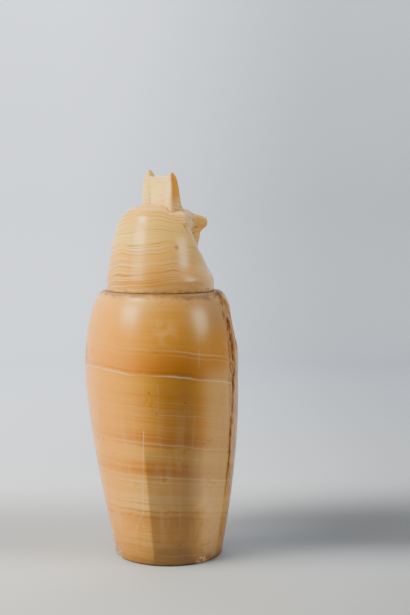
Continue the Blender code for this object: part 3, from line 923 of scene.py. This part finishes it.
# %% [markdown]
# Old polish on calcite is soft and a little warm, and light sinks a few millimetres into the stone.
# Both stones end in the same shader, with their own roughness, relief and depth.


# %% The shader of the polished stone
def polished(bench, colour, roughness, bumps, relief, sinking):
    """Feeds the shader. Relief is the bump's strength and distance, sinking its weight and radius."""
    strength, distance = relief
    weight, radius = sinking
    sockets = {"Strength": strength, "Distance": distance, "Height": bumps}
    bench.join(bench.shader.inputs["Base Color"], colour)
    bench.join(bench.shader.inputs["Roughness"], roughness)
    bench.join(bench.shader.inputs["Normal"], bench.node("ShaderNodeBump", {}, sockets, "Normal"))
    bench.shader.inputs["Specular IOR Level"].default_value = 0.65
    bench.shader.inputs["Specular Tint"].default_value = (1.0, 0.84, 0.58, 1.0)
    bench.shader.inputs["Subsurface Weight"].default_value = weight
    bench.shader.inputs["Subsurface Radius"].default_value = radius
    bench.shader.inputs["Subsurface Scale"].default_value = 1.0
    return bench.material


# %% [markdown]
# ## The jar's stone
# Places on the jar are given by bearing and height. The bearing is the angle round the jar's own
# axis, which drifts towards the foot, so the drift is taken off first.


# %% Bearings on the jar
def jar_bearing(bench):
    """Degrees from the front round the drifting axis, from the arc tangent of the two level axes."""
    climbed = (bench.mm / (1000.0 * DRIFT_TOP)).most(0.0).least(1.0)
    fade = 1 - climbed**DRIFT_CURVE
    x = bench.along((1.0, 0.0, 0.0)) + fade * (BASE_DRIFT * math.sin(math.radians(DRIFT_BEARING)))
    y = bench.along((0.0, 1.0, 0.0)) + fade * (BASE_DRIFT * math.cos(math.radians(DRIFT_BEARING)))
    return x.math("ARCTAN2", -x, -y) * math.degrees(1.0)


# %% [markdown]
# The jar's bands run from pale tan at the foot to deep honey at the shoulder. Paler and darker
# laminae lie over them, stronger low down and patchy all over, and a few soft clouds.

# %% The jar's bands
HONEY = (0.842, 0.318, 0.0019)
AMBER = (0.889, 0.391, 0.0096)

JAR_BANDS = (
    (-8.0, (0.56, 0.250, 0.034)),
    (10.0, (0.64, 0.300, 0.040)),
    (18.0, (0.80, 0.390, 0.060)),
    (28.0, (0.70, 0.310, 0.034)),
    (42.0, (0.60, 0.250, 0.026)),
    (50.0, (0.56, 0.230, 0.030)),
    (58.0, (0.86, 0.470, 0.095)),
    (70.0, (0.90, 0.510, 0.115)),
    (78.0, (0.78, 0.380, 0.060)),
    (88.0, (0.88, 0.470, 0.080)),
    (94.0, (0.74, 0.270, 0.006)),
    (101.0, (0.64, 0.185, 0.001)),
    (109.0, (0.74, 0.270, 0.006)),
    (117.0, (0.88, 0.420, 0.045)),
    (128.0, (0.86, 0.380, 0.026)),
    (133.0, (0.70, 0.220, 0.002)),
    (142.0, (0.70, 0.215, 0.001)),
    (150.0, (0.84, 0.320, 0.006)),
    (170.0, (0.82, 0.315, 0.006)),
    (190.0, HONEY),
    (202.0, AMBER),
    (211.0, (0.70, 0.210, 0.001)),
    (228.0, (0.78, 0.260, 0.002)),
    (240.0, HONEY),
    (254.0, (0.84, 0.340, 0.006)),
    (270.0, (0.82, 0.350, 0.020)),
    (290.0, (0.86, 0.440, 0.080)),
    (302.0, (0.82, 0.440, 0.100)),
)


def jar_sheet(bench):
    """Height above the lowest sheet along the sheets' normal, bent by slow noise, in metres."""
    bend = (bench.noise(9.0, 1.0) - 0.5) * 0.012 + (bench.noise(55.0, 2.0) - 0.5) * 0.0032
    rise = 1 - abs(bench.bearing - 90.0).step(8.0, 50.0)
    return bench.along((0.013, -0.156, 1.0)) + bend - rise * 0.0030


def jar_bands(bench):
    """The ramp over the sheets, with laminae, broader bands and clouds laid over it."""
    colour = ramp_over(bench, bench.sheet, -10.0, 305.0, JAR_BANDS)
    laminae = bench.noise_along(bench.sheet, 260.0, 3.0)
    broad = bench.noise_along(bench.sheet, 80.0, 1.0)
    calm = 1 - bench.mm.step(150.0, 230.0) * 0.7
    calm = calm * (bench.noise(24.0, 2.0).step(0.32, 0.62) * 0.7 + 0.3)
    colour = bench.blend((laminae - 0.5).step(0.0, 0.22) * calm * 0.42, colour, (0.92, 0.47, 0.060))
    colour = bench.blend((0.5 - laminae).step(0.0, 0.22) * calm * 0.58, colour, (0.36, 0.120, 0.006))
    colour = bench.blend((broad - 0.5).step(0.02, 0.25) * 0.28, colour, (0.82, 0.42, 0.050))
    clouds = bench.noise(13.0, 2.0)
    return bench.blend((clouds - 0.5).step(0.04, 0.28) * 0.35, colour, (0.78, 0.33, 0.018))


print("jar bands:", len(JAR_BANDS), "colours over the sheets")


# %% [markdown]
# The stone is darker and duller towards the right of the picture, as painted shade, and more golden
# towards the left, as painted light. Below the shoulder the old polish has worn into faint upright streaks.


# %% The jar's painted light and shade from side to side, and its worn streaks
def jar_sides(bench, colour):
    """Painted shade by a step on the distance to the right, painted light by a step on the distance to the left,
    then noise along upright streaks.
    """
    right = bench.towards(35.0)
    # Painted shade: darker and duller towards the right of the picture.
    colour = bench.blend(right.step(-0.036, 0.040) * 0.55, colour, (0.46, 0.215, 0.050))
    # Painted light: more golden towards the left of the picture.
    colour = bench.blend((-right).step(0.016, 0.056) * 0.60, colour, (0.95, 0.370, 0.0))
    upright = bench.noise(1.0, 2.0, (150.0, 150.0, 8.0))
    worn = bench.mm.within((10.0, 40.0), (150.0, 210.0))
    return bench.blend((upright - 0.5).step(0.02, 0.18) * worn * 0.16, colour, (0.90, 0.55, 0.20))


# %% [markdown]
# White veins and brown seams follow the sheets. Each is given by its height, half width and
# strength, and breaks off here and there.

# %% The jar's veins and seams
JAR_VEINS = (
    (236.0, 1.3, 0.34),
    (231.0, 1.0, 0.24),
    (208.2, 1.5, 0.80),
    (166.5, 1.0, 0.30),
    (131.0, 1.2, 0.34),
    (94.5, 1.3, 0.42),
    (89.0, 0.9, 0.22),
    (7.0, 1.2, 0.20),
    (180.0, 0.8, 0.20),
    (152.0, 0.8, 0.18),
    (118.0, 0.8, 0.20),
    (73.0, 0.9, 0.22),
)
JAR_SEAMS = ((212.2, 1.2, 0.5), (55.5, 1.0, 0.45), (98.5, 2.2, 0.35), (134.5, 1.8, 0.3))


def jar_veins(bench, colour):
    """A vein is line * (0.45 * noise step + 0.35 * nearness to bearing 98 + 0.2)."""
    bright_front = 1 - abs(bench.bearing - 98.0).step(16.0, 46.0)
    showing = bench.broken_line.step(0.36, 0.60) * 0.45 + bright_front * 0.35 + 0.2
    for at, width, strength in JAR_VEINS:
        line = sheet_line(bench.sheet, at, width) * showing
        colour = bench.blend(line * strength, colour, (0.92, 0.78, 0.46))
    showing = bench.broken_line.step(0.35, 0.6) * 0.5 + 0.5
    for at, width, strength in JAR_SEAMS:
        line = sheet_line(bench.sheet, at, width) * showing
        colour = bench.blend(line * strength, colour, (0.36, 0.120, 0.018))
    return colour


print("jar veins:", len(JAR_VEINS), "and seams:", len(JAR_SEAMS))


# %% [markdown]
# Cracks show as pale hairlines. Each runs between two places on the jar, given by bearing and
# height, and wavers a little. The distance from it is an angle times the radius.

# %% The jar's hairlines
JAR_HAIRLINES = (
    ((140.4, 157.4), (146.9, 64.3), 0.9, 0.60),
    ((146.9, 64.3), (157.0, 41.6), 1.0, 0.70),
    ((96.0, 266.2), (97.7, 226.5), 0.7, 0.35),
    ((138.4, 219.1), (139.6, 180.8), 0.7, 0.30),
    ((127.8, 208.5), (128.7, 181.1), 0.6, 0.25),
    ((93.9, 145.1), (91.9, 75.9), 0.8, 0.40),
    ((68.8, 202.2), (68.2, 139.6), 0.9, 0.45),
    ((171.0, 190.0), (169.0, 96.0), 0.8, 0.25),
    ((-98.0, 240.0), (-102.0, 120.0), 0.8, 0.40),
    ((-42.0, 170.0), (-37.0, 40.0), 0.8, 0.40),
)
MM_PER_DEGREE = 1.4


def hairline(bench, start, end, width):
    """A line from start to end, each (bearing, height in mm), of a half width in mm."""
    low, high = sorted((start, end), key=lambda place: place[1])
    lean = (high[0] - low[0]) / (high[1] - low[1])
    middle = (bench.mm - low[1]) * lean
    away = abs(bench.bearing - middle - low[0] + bench.waver) * MM_PER_DEGREE
    line = 1 - away.step(0.0, width)
    return line * bench.mm.within((low[1] - 3, low[1] + 3), (high[1] - 3, high[1] + 3))


def jar_hairlines(bench, colour):
    """A hairline is line * (0.6 * noise step + 0.3), so it fades but never quite stops."""
    showing = bench.broken_line.step(0.40, 0.60) * 0.6 + 0.3
    for start, end, width, strength in JAR_HAIRLINES:
        line = hairline(bench, start, end, width) * showing
        colour = bench.blend(line * strength, colour, (0.88, 0.70, 0.40))
    return colour


print("jar hairlines:", len(JAR_HAIRLINES))


# %% [markdown]
# The side turned away from the light is darker, partly in the stone's own tone and partly as painted
# shade, down to a sharp edge along a hairline low down and fading out higher up. Beside the break the
# stone is paler. A sooty bloom lies on the shoulder. Four small patches are given by their centre,
# radius, strength and colour.

# %% The jar's stains, painted shade and patches
JAR_PATCHES = (
    ((-0.0698, 0.0459, 0.2653), 0.0120, 0.26, (0.92, 0.56, 0.20)),
    ((-0.0626, 0.0608, 0.1996), 0.0016, 0.55, (0.20, 0.075, 0.012)),
    ((-0.0669, 0.0258, 0.0510), 0.0034, 0.50, (0.20, 0.085, 0.020)),
    ((-0.0767, -0.0041, 0.0663), 0.0120, 0.25, (0.86, 0.60, 0.30)),
)


def jar_stains_and_shade(bench, colour):
    """A stain, and the painted shade, is a step in bearing * a step in height; a patch is a ball * a noise step.
    """
    bearing, mm = bench.bearing, bench.mm
    to_edge = bearing.within((84.0, 93.0), (102.0, 112.0))
    block = to_edge * mm.within((60.0, 84.0), (120.0, 150.0))
    colour = bench.blend(block * 0.22, colour, (0.90, 0.60, 0.30))
    beside = bearing.within((66.0, 69.0), (82.0, 102.0)) * (1 - mm.step(205.0, 235.0))
    colour = bench.blend(beside * 0.40, colour, (0.88, 0.59, 0.28))
    low = 1 - mm.step(120.0, 150.0)
    soft_edge = 1 - bearing.step(120.0, 150.0)
    sharp_edge = 1 - bearing.step(139.8, 142.6)
    # Partly the stone's own darker tone, partly painted shade on the side turned from the light.
    tone_and_shade = bearing.step(88.0, 110.0) * (low * sharp_edge + (1 - low) * soft_edge)
    tone_and_shade = tone_and_shade * (1 - mm.step(190.0, 290.0) * 0.75)
    colour = bench.multiply_tint(tone_and_shade, colour, (0.47, 0.50, 0.80))
    soot = bearing.within((52.0, 76.0), (88.0, 116.0)) * mm.step(246.0, 290.0)
    colour = bench.blend(soot * 0.55, colour, (0.44, 0.29, 0.165))
    uneven = (bench.noise(90.0, 3.0) - 0.5).step(-0.10, 0.10)
    for centre, radius, strength, tint in JAR_PATCHES:
        colour = bench.blend(bench.near(centre, radius, 0.8) * uneven * strength, colour, tint)
    return colour


# %% [markdown]
# Dirt has settled at the foot and under the lid, most of all to the right. A dark line of painted
# contact shadow marks where the foot touches what it stands on. Noise on the height frays the edge
# of each.


# %% The jar's dirt and painted contact shadow
def jar_dirt_and_contact_shadow(bench, colour):
    """The soiled colour with a painted contact shadow, and where the dirt at the foot and at the rim lies."""
    frayed = bench.noise(120.0, 3.0) - 0.5
    right_front = 1 - abs(bench.bearing - 84.0).step(14.0, 40.0)
    stained = 1 - (bench.mm + frayed * 26.0).step(4.0, 52.0)
    at_foot = 1 - (bench.mm + frayed * 20.0 - right_front * 3.0).step(0.0, 11.0)
    at_rim = (bench.mm + frayed * 9.0 + right_front * 3.0).step(298.5, 304.0)
    # Painted contact shadow along the very foot.
    contact_shadow = 1 - (bench.mm + frayed * 3.0).step(0.5, 3.5)
    colour = bench.multiply_tint(stained * 0.85, colour, (0.56, 0.56, 0.68))
    colour = bench.blend(at_foot * 0.75, colour, (0.20, 0.095, 0.036))
    colour = bench.blend(at_rim * 0.80, colour, (0.17, 0.090, 0.045))
    colour = bench.blend(contact_shadow * 0.80, colour, (0.07, 0.032, 0.014))
    return colour, at_foot, at_rim


# %% [markdown]
# Fresh chips are pale and speckled. The break is crumbly, streaked down its length and nearly black
# in the crack. Scabs of the same colour hang on its far lip, and one white facet shows at the foot.

# %% The jar's chips and break
FACET = tuple(drift(0.030) + level_direction(np.array(203.0)) * 0.064 + np.array([0, 0, 0.032]))


def rubble_colour(bench, streaks, specks):
    """Brown to tan by the streaks, greyer by the specks, and darker the lower it lies."""
    rubble = bench.blend(streaks.step(0.34, 0.56), (0.26, 0.105, 0.032), (0.50, 0.270, 0.105))
    rubble = bench.blend((streaks - 0.5).step(0.02, 0.14) * 0.6, rubble, (0.76, 0.480, 0.220))
    rubble = bench.blend((specks - 0.5).step(0.06, 0.18) * 0.45, rubble, (0.24, 0.19, 0.120))
    deep = 1 - (bench.mm + (streaks - 0.5) * 60.0).step(196.0, 226.0)
    return bench.blend(deep * 0.75, rubble, (0.10, 0.034, 0.012))


def jar_damage(bench, colour, specks):
    """The colour with chips and break, and how rough the stone is there."""
    bearing, mm = bench.bearing, bench.mm
    streaks = bench.noise(1.0, 4.0, (430.0, 430.0, 120.0))
    chipped, broken = bench.attribute("chipped"), bench.attribute("broken")
    rubble = rubble_colour(bench, streaks, specks)
    fresh = bench.blend(specks.step(0.40, 0.62), (0.30, 0.150, 0.060), (0.74, 0.52, 0.30))
    upper = mm.step(215.0, 232.0) * bearing.within((0.0, 8.0), (76.0, 82.0))
    colour = bench.blend(chipped * 0.9, colour, bench.blend(upper, fresh, rubble))
    far_lip = (bearing + bench.waver * 2).step(41.0, 49.0) * (1 - bearing.step(61.0, 66.0))
    far_lip = far_lip * mm.within((62.0, 90.0), (222.0, 240.0))
    scabs = bench.blend(streaks.step(0.36, 0.60), (0.30, 0.125, 0.034), (0.66, 0.370, 0.140))
    colour = bench.blend(far_lip * (0.5 + bench.broken_line.step(0.35, 0.60) * 0.4), colour, scabs)
    colour = bench.blend(broken, colour, rubble)
    facet = bench.near(FACET, 0.007, 0.8) * chipped * (streaks.step(0.34, 0.56) * 0.7 + 0.3)
    return bench.blend(facet, colour, (0.92, 0.84, 0.70)), chipped.most(broken)


# %% [markdown]
# Now the steps run in order, from the inside of the stone to the dirt and damage on its surface.


# %% The jar's material
def jar_stone():
    """Roughness is 0.29 + wear + 0.45 * damage + 0.25 * rim dirt + 0.2 * foot dirt."""
    bench = Bench("banded_calcite_jar")
    bench.bearing = jar_bearing(bench)
    bench.sheet = jar_sheet(bench)
    bench.broken_line = bench.noise(30.0, 2.0)
    bench.waver = (bench.noise(70.0, 2.0) - 0.5) * 2.2
    colour = jar_bands(bench)
    for layer in (jar_sides, jar_veins, jar_hairlines, jar_stains_and_shade):
        colour = layer(bench, colour)
    colour, at_foot, at_rim = jar_dirt_and_contact_shadow(bench, colour)
    specks = bench.noise(420.0, 3.0)
    colour, rough = jar_damage(bench, colour, specks)
    fine = bench.noise(900.0, 2.0)
    bumps = (fine - 0.5) * (rough * 0.9 + 0.03) + (specks - 0.5) * (rough * 0.8 + 0.02)
    worn = (bench.noise(60.0, 3.0) - 0.5) * 0.10
    roughness = 0.29 + worn + rough * 0.45 + at_rim * 0.25 + at_foot * 0.2
    return polished(bench, colour, roughness, bumps, (0.55, 0.0007), (0.06, (0.010, 0.004, 0.001)))


jar_material = jar_stone()
jar.data.materials.append(jar_material)
print("jar material:", len(jar_material.node_tree.nodes), "nodes")

# %% [markdown]
# ## The lid's stone
# The lid was cut from a paler part of the block, with its sheets lying at another slant. Its
# laminae are finer and wavier, and the ears and the wall between them are nearly cream.

# %% The lid's bands
LID_BANDS = (
    (296.0, (0.772, 0.363, 0.04)),
    (306.0, (0.796, 0.351, 0.024)),
    (314.0, (0.772, 0.330, 0.010)),
    (324.0, (0.830, 0.395, 0.020)),
    (332.0, (0.860, 0.385, 0.012)),
    (342.0, (0.930, 0.475, 0.028)),
    (352.0, (0.95, 0.550, 0.050)),
    (362.0, (0.95, 0.600, 0.080)),
    (372.0, (0.95, 0.545, 0.045)),
    (384.0, (0.95, 0.470, 0.020)),
    (394.0, (0.95, 0.503, 0.048)),
    (410.0, (0.95, 0.725, 0.2)),
    (440.0, (0.95, 0.608, 0.096)),
)


def lid_bands(bench):
    """The ramp over the lid's sheets, with patchy laminae and broader bands laid over it."""
    colour = ramp_over(bench, bench.sheet, 290.0, 450.0, LID_BANDS)
    laminae = bench.noise_along(bench.sheet, 420.0, 2.0)
    broad = bench.noise_along(bench.sheet, 130.0, 1.0)
    patchy = bench.noise(38.0, 2.0).step(0.34, 0.62) * 0.7 + 0.3
    colour = bench.blend((laminae - 0.5).step(0.0, 0.16) * patchy * 0.50, colour, (0.95, 0.62, 0.200))
    colour = bench.blend((0.5 - laminae).step(0.0, 0.16) * patchy * 0.74, colour, (0.40, 0.155, 0.018))
    return bench.blend((broad - 0.5).step(0.02, 0.22) * 0.30, colour, (0.88, 0.62, 0.260))


print("lid bands:", len(LID_BANDS), "colours over the sheets")


# %% [markdown]
# The chest is paler, and the side behind it is darker low down as painted shade. The right is duller
# all the way up. A few white veins follow the sheets.

# %% The lid's sides and veins
LID_VEINS = ((360.0, 1.4, 0.42), (352.5, 0.9, 0.22), (340.0, 0.9, 0.22), (322.0, 0.9, 0.2))


def lid_sides(bench, colour):
    """Each side, the painted shade low down among them, is a step on the distance along a level direction * a
    step in height.
    """
    mm = bench.mm
    chest = bench.along((-0.25, -1.0, 0.0)).step(0.006, 0.050) * (1 - mm.step(362.0, 388.0))
    colour = bench.blend(chest * (1 - bench.face) * 0.70, colour, (0.95, 0.70, 0.40))
    # Painted shade: the side behind the chest is darker low down.
    shaded = bench.towards(108.0).step(0.046, 0.061) * (1 - mm.step(316.0, 352.0))
    colour = bench.multiply_tint(shaded, colour, (0.66, 0.58, 0.50))
    duller = bench.towards(35.0).step(-0.030, 0.040)
    return bench.blend(duller * 0.40, colour, (0.92, 0.60, 0.26))


def lid_veins(bench, colour):
    """A vein is line * noise step."""
    showing = bench.noise(26.0, 2.0).step(0.36, 0.58)
    for at, width, strength in LID_VEINS:
        line = sheet_line(bench.sheet, at, width) * showing
        colour = bench.blend(line * strength, colour, (0.92, 0.80, 0.52))
    return colour


# %% [markdown]
# Small marks are given by their centre, radius, softness, strength and colour: three pits in the
# wig, a painted shadow under the cheek and a darker lip. The flat sides of the ears are painted orange
# as a glow of light through the thin stone, and the face golden, partly as painted shade.

# %% Marks on the wig, the ears and the face
PIT = (0.22, 0.085, 0.035)

LID_MARKS = (
    ((-0.0535, 0.0156, 0.3555), 0.0034, 0.4, 0.85, PIT),
    ((-0.0440, 0.0100, 0.3990), 0.0016, 0.4, 0.80, PIT),
    ((-0.0300, -0.0190, 0.3965), 0.0020, 0.4, 0.80, PIT),
    # Painted shadow under the cheek.
    ((-0.0190, -0.0330, 0.3700), 0.0120, 0.8, 0.50, (0.30, 0.130, 0.030)),
    ((-0.0095, -0.0560, 0.3765), 0.0050, 0.4, 0.75, (0.82, 0.30, 0.03)),
)


def lid_marks(bench, colour):
    """A mark is a ball * its strength; the ears' painted glow is steps across, up and forwards."""
    for centre, radius, softness, strength, tint in LID_MARKS:
        colour = bench.blend(bench.near(centre, radius, softness) * strength, colour, tint)
    # Painted glow: light shining through the thin ears, shown as orange on their flat sides.
    ear_glow = abs(bench.along((1.0, 0.0, 0.0))).step(0.0195, 0.0230) * bench.mm.step(402.0, 412.0)
    ear_glow = ear_glow * bench.along((0.0, -1.0, 0.0)).step(-0.0072, -0.0048)
    colour = bench.blend(ear_glow * 0.95, colour, (0.92, 0.36, 0.008))
    # The face is golden: partly its own tone, partly painted shade.
    return bench.blend(bench.face * 0.65, colour, (0.78, 0.42, 0.085))


print("lid marks:", len(LID_MARKS))


# %% [markdown]
# Dirt lies at the lid's foot, painted shade darkens its hollows, and the ridges are rubbed paler.


# %% The lid's dirt and painted shade
def lid_dirt_and_shade(bench, colour):
    """The soiled colour with painted shade in the hollows, and where the dirt at the foot lies."""
    frayed = bench.noise(150.0, 3.0) - 0.5
    at_foot = 1 - (bench.mm + frayed * 7.0).step(305.0, 308.6)
    # Painted shade in the hollows, frayed by noise.
    hollow_shade = bench.attribute("hollow") * (frayed.step(-0.12, 0.10) * 0.4 + 0.6)
    colour = bench.blend(at_foot * 0.80, colour, (0.18, 0.090, 0.040))
    colour = bench.blend(bench.attribute("ridge") * 0.35, colour, (0.95, 0.70, 0.32))
    return bench.blend(hollow_shade * 0.88, colour, (0.22, 0.095, 0.030)), at_foot


# %% The lid's material
def lid_stone():
    """Roughness is 0.30 + wear + 0.35 * chips + 0.2 * foot dirt + 0.25 * face."""
    bench = Bench("banded_calcite_lid")
    bend = (bench.noise(12.0, 1.0) - 0.5) * 0.012 + (bench.noise(26.0, 1.0) - 0.5) * 0.016
    bench.sheet = bench.along((0.138, -0.134, 1.0)) + bend
    bench.face = bench.along((0.0, -1.0, 0.0)).step(0.022, 0.034) * bench.mm.step(350.0, 364.0)
    colour = lid_bands(bench)
    for layer in (lid_sides, lid_veins, lid_marks):
        colour = layer(bench, colour)
    colour, at_foot = lid_dirt_and_shade(bench, colour)
    specks = bench.noise(420.0, 3.0)
    chipped = bench.attribute("chipped")
    fresh = bench.blend(specks.step(0.4, 0.6), (0.52, 0.33, 0.17), (0.84, 0.70, 0.48))
    colour = bench.blend(chipped * 0.7, colour, fresh)
    fine = bench.noise(900.0, 2.0)
    bumps = (fine - 0.5) * (chipped * 0.8 + 0.03) + (specks - 0.5) * (chipped * 0.6 + 0.02)
    worn = (bench.noise(60.0, 3.0) - 0.5) * 0.10
    roughness = 0.30 + worn + chipped * 0.35 + at_foot * 0.2 + bench.face * 0.25
    return polished(bench, colour, roughness, bumps, (0.5, 0.0006), (0.08, (0.012, 0.006, 0.002)))


lid_material = lid_stone()
lid.data.materials.clear()
lid.data.materials.append(lid_material)
print("lid material:", len(lid_material.node_tree.nodes), "nodes")

# %% [markdown]
# ## Place of each stone on the part
# Both stones rest where the fixed model has them, and stand in for its plain nodes.

# %% Hand the stones over
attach(jar, "root")
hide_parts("jar")
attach(lid, "root")
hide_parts("jackal_head_lid")

# %% [markdown]
# ## Studio
# The jar stands on a pale grey card that rises all round it, far out, so that it can be looked at
# from any side. Light and shade are painted on the card: it is palest behind the jar and to the left,
# with painted shade towards the right, and a painted shadow band crosses its floor just behind the
# foot, darkest to the right. Far in front its floor is a darker grey.

# %% Card
TURN = math.radians(35)
TOWARDS_CAMERA = Vector((-math.cos(TURN), math.sin(TURN), 0.0))
TO_THE_RIGHT = Vector((-math.sin(TURN), -math.cos(TURN), 0.0))


def studio_place(near, right, height):
    """A place given by its distances towards the camera, to the picture's right, and up."""
    return TOWARDS_CAMERA * near + TO_THE_RIGHT * right + Vector((0, 0, height))


def card_grey():
    """One grey times 1 - dimming, for each dimming across the card: painted shade, a painted shadow band and a
    darker floor in front.
    """
    bench = Bench("grey_card")
    near = bench.along(tuple(TOWARDS_CAMERA))
    right = bench.along(tuple(TO_THE_RIGHT))
    # Painted shade: the card darkens towards the right.
    shade_and_dark_floor = 1 - right.step(-0.30, 0.50) * 0.47
    # Painted shadow: a band across the floor just behind the foot, darker to the right.
    shadow_band = near.within((-0.36, -0.12), (-0.05, 0.10)) * (1 - bench.mm.step(50.0, 300.0))
    shade_and_dark_floor = shade_and_dark_floor * (1 - shadow_band * (right.step(-0.05, 0.30) * 0.28 + 0.42))
    shade_and_dark_floor = shade_and_dark_floor * (1 - near.step(0.27, 0.90) * 0.55) * (1 - near.step(-0.25, 0.15) * 0.07)
    grey = bench.blend(shade_and_dark_floor, (0.0, 0.0, 0.0), (0.76, 0.82, 0.90))
    bench.join(bench.shader.inputs["Base Color"], grey)
    bench.shader.inputs["Roughness"].default_value = 0.75
    bench.shader.inputs["Specular IOR Level"].default_value = 0.2
    return bench.material


def make_card():
    """A flat disc, a quarter circle up and an upright wall, all turned round the jar's middle."""
    flat, bend = 1.70, 0.40
    path = [(radius, 0.0) for radius in (0.0, 0.4, 0.9, 1.3, flat)]
    quarter = np.linspace(0.1, math.pi / 2, 14)
    path += [(flat + bend * math.sin(a), bend * (1 - math.cos(a))) for a in quarter]
    path += [(flat + bend, 1.2), (flat + bend, 2.4)]
    turns = np.linspace(0, 2 * math.pi, 97)
    points = [(radius * math.cos(a), radius * math.sin(a), height) for radius, height in path for a in turns]
    across = len(turns)
    faces = [
        (row * across + i, row * across + i + 1, (row + 1) * across + i + 1, (row + 1) * across + i)
        for row in range(len(path) - 1)
        for i in range(across - 1)
    ]
    mesh = bpy.data.meshes.new("grey_card")
    mesh.from_pydata(points, [], faces)
    mesh.shade_smooth()
    card = bpy.data.objects.new("grey_card", mesh)
    bpy.context.scene.collection.objects.link(card)
    mesh.materials.append(card_grey())
    card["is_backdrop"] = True
    print("card:", len(points), "points")


make_card()

# %% [markdown]
# A big soft light, the key, stands to the left, and a small one, the side light, to the right,
# and each gives the polished stone a highlight. A narrow beam from the top brightens the wig and
# the ears. The flank light, farther round to the left, warms that side without any reflection of
# its own. The last light is for the card alone.


# %% Lights and camera
def add_softbox(name, place, target, size, power, colour):
    """A rectangular area light aimed at a point."""
    light = bpy.data.lights.new(name, "AREA")
    light.shape = "RECTANGLE"
    light.size, light.size_y = size
    light.energy = power
    light.color = colour
    made = bpy.data.objects.new(name, light)
    made.location = place
    made.rotation_euler = (Vector(target) - made.location).to_track_quat("-Z", "Y").to_euler()
    bpy.context.scene.collection.objects.link(made)
    return made


add_softbox("key", studio_place(0.77, -1.10, 0.94), (0, 0, 0.26), (0.62, 0.44), 20.0, (1.0, 0.90, 0.74))
top = add_softbox("top", studio_place(0.30, -0.62, 1.24), (0, 0, 0.38), (0.36, 0.36), 0.9, (1.0, 0.92, 0.74))
top.data.spread = math.radians(45)
farther_round = studio_place(-0.15, -1.35, 0.70)
flank = add_softbox("flank", farther_round, (0, 0, 0.22), (0.50, 0.60), 12.0, (1.0, 0.76, 0.34))
flank.visible_glossy = False
add_softbox("side", studio_place(0.55, 1.10, 0.70), (0, 0, 0.28), (0.44, 0.40), 7.0, (1.0, 0.92, 0.80))
behind, far_wall = studio_place(-0.70, 0.0, 1.70), studio_place(-2.0, 0.0, 0.45)
add_softbox("backdrop", behind, far_wall, (2.4, 0.4), 52.0, (0.97, 0.98, 1.0))

world = bpy.data.worlds.new("studio_air")
world.use_nodes = True
air = world.node_tree.nodes["Background"]
air.inputs["Color"].default_value = (0.9, 0.95, 1.0, 1.0)
air.inputs["Strength"].default_value = 0.05
bpy.context.scene.world = world

camera_data = bpy.data.cameras.new("camera")
camera_data.lens = 70.0
camera_data.sensor_fit = "VERTICAL"
camera_data.sensor_height = 36.0
camera = bpy.data.objects.new("camera", camera_data)
camera.location = studio_place(1.3624, 0.0, 0.4024)
yaw = math.radians(2.083)
pitch = math.radians(4.947)
level_look = -TOWARDS_CAMERA * math.cos(yaw) + TO_THE_RIGHT * math.sin(yaw)
look = level_look * math.cos(pitch) - Vector((0, 0, math.sin(pitch)))
camera.rotation_euler = look.to_track_quat("-Z", "Y").to_euler()
bpy.context.scene.collection.objects.link(camera)
bpy.context.scene.camera = camera

# %% Check the sizes and finish
boxes = {"cad": [list(map(float, c)) for c in cad_box], "visual": [list(map(float, c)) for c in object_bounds()]}
print("boxes, mm:", {k: [[round(1000 * v, 2) for v in c] for c in b] for k, b in boxes.items()})
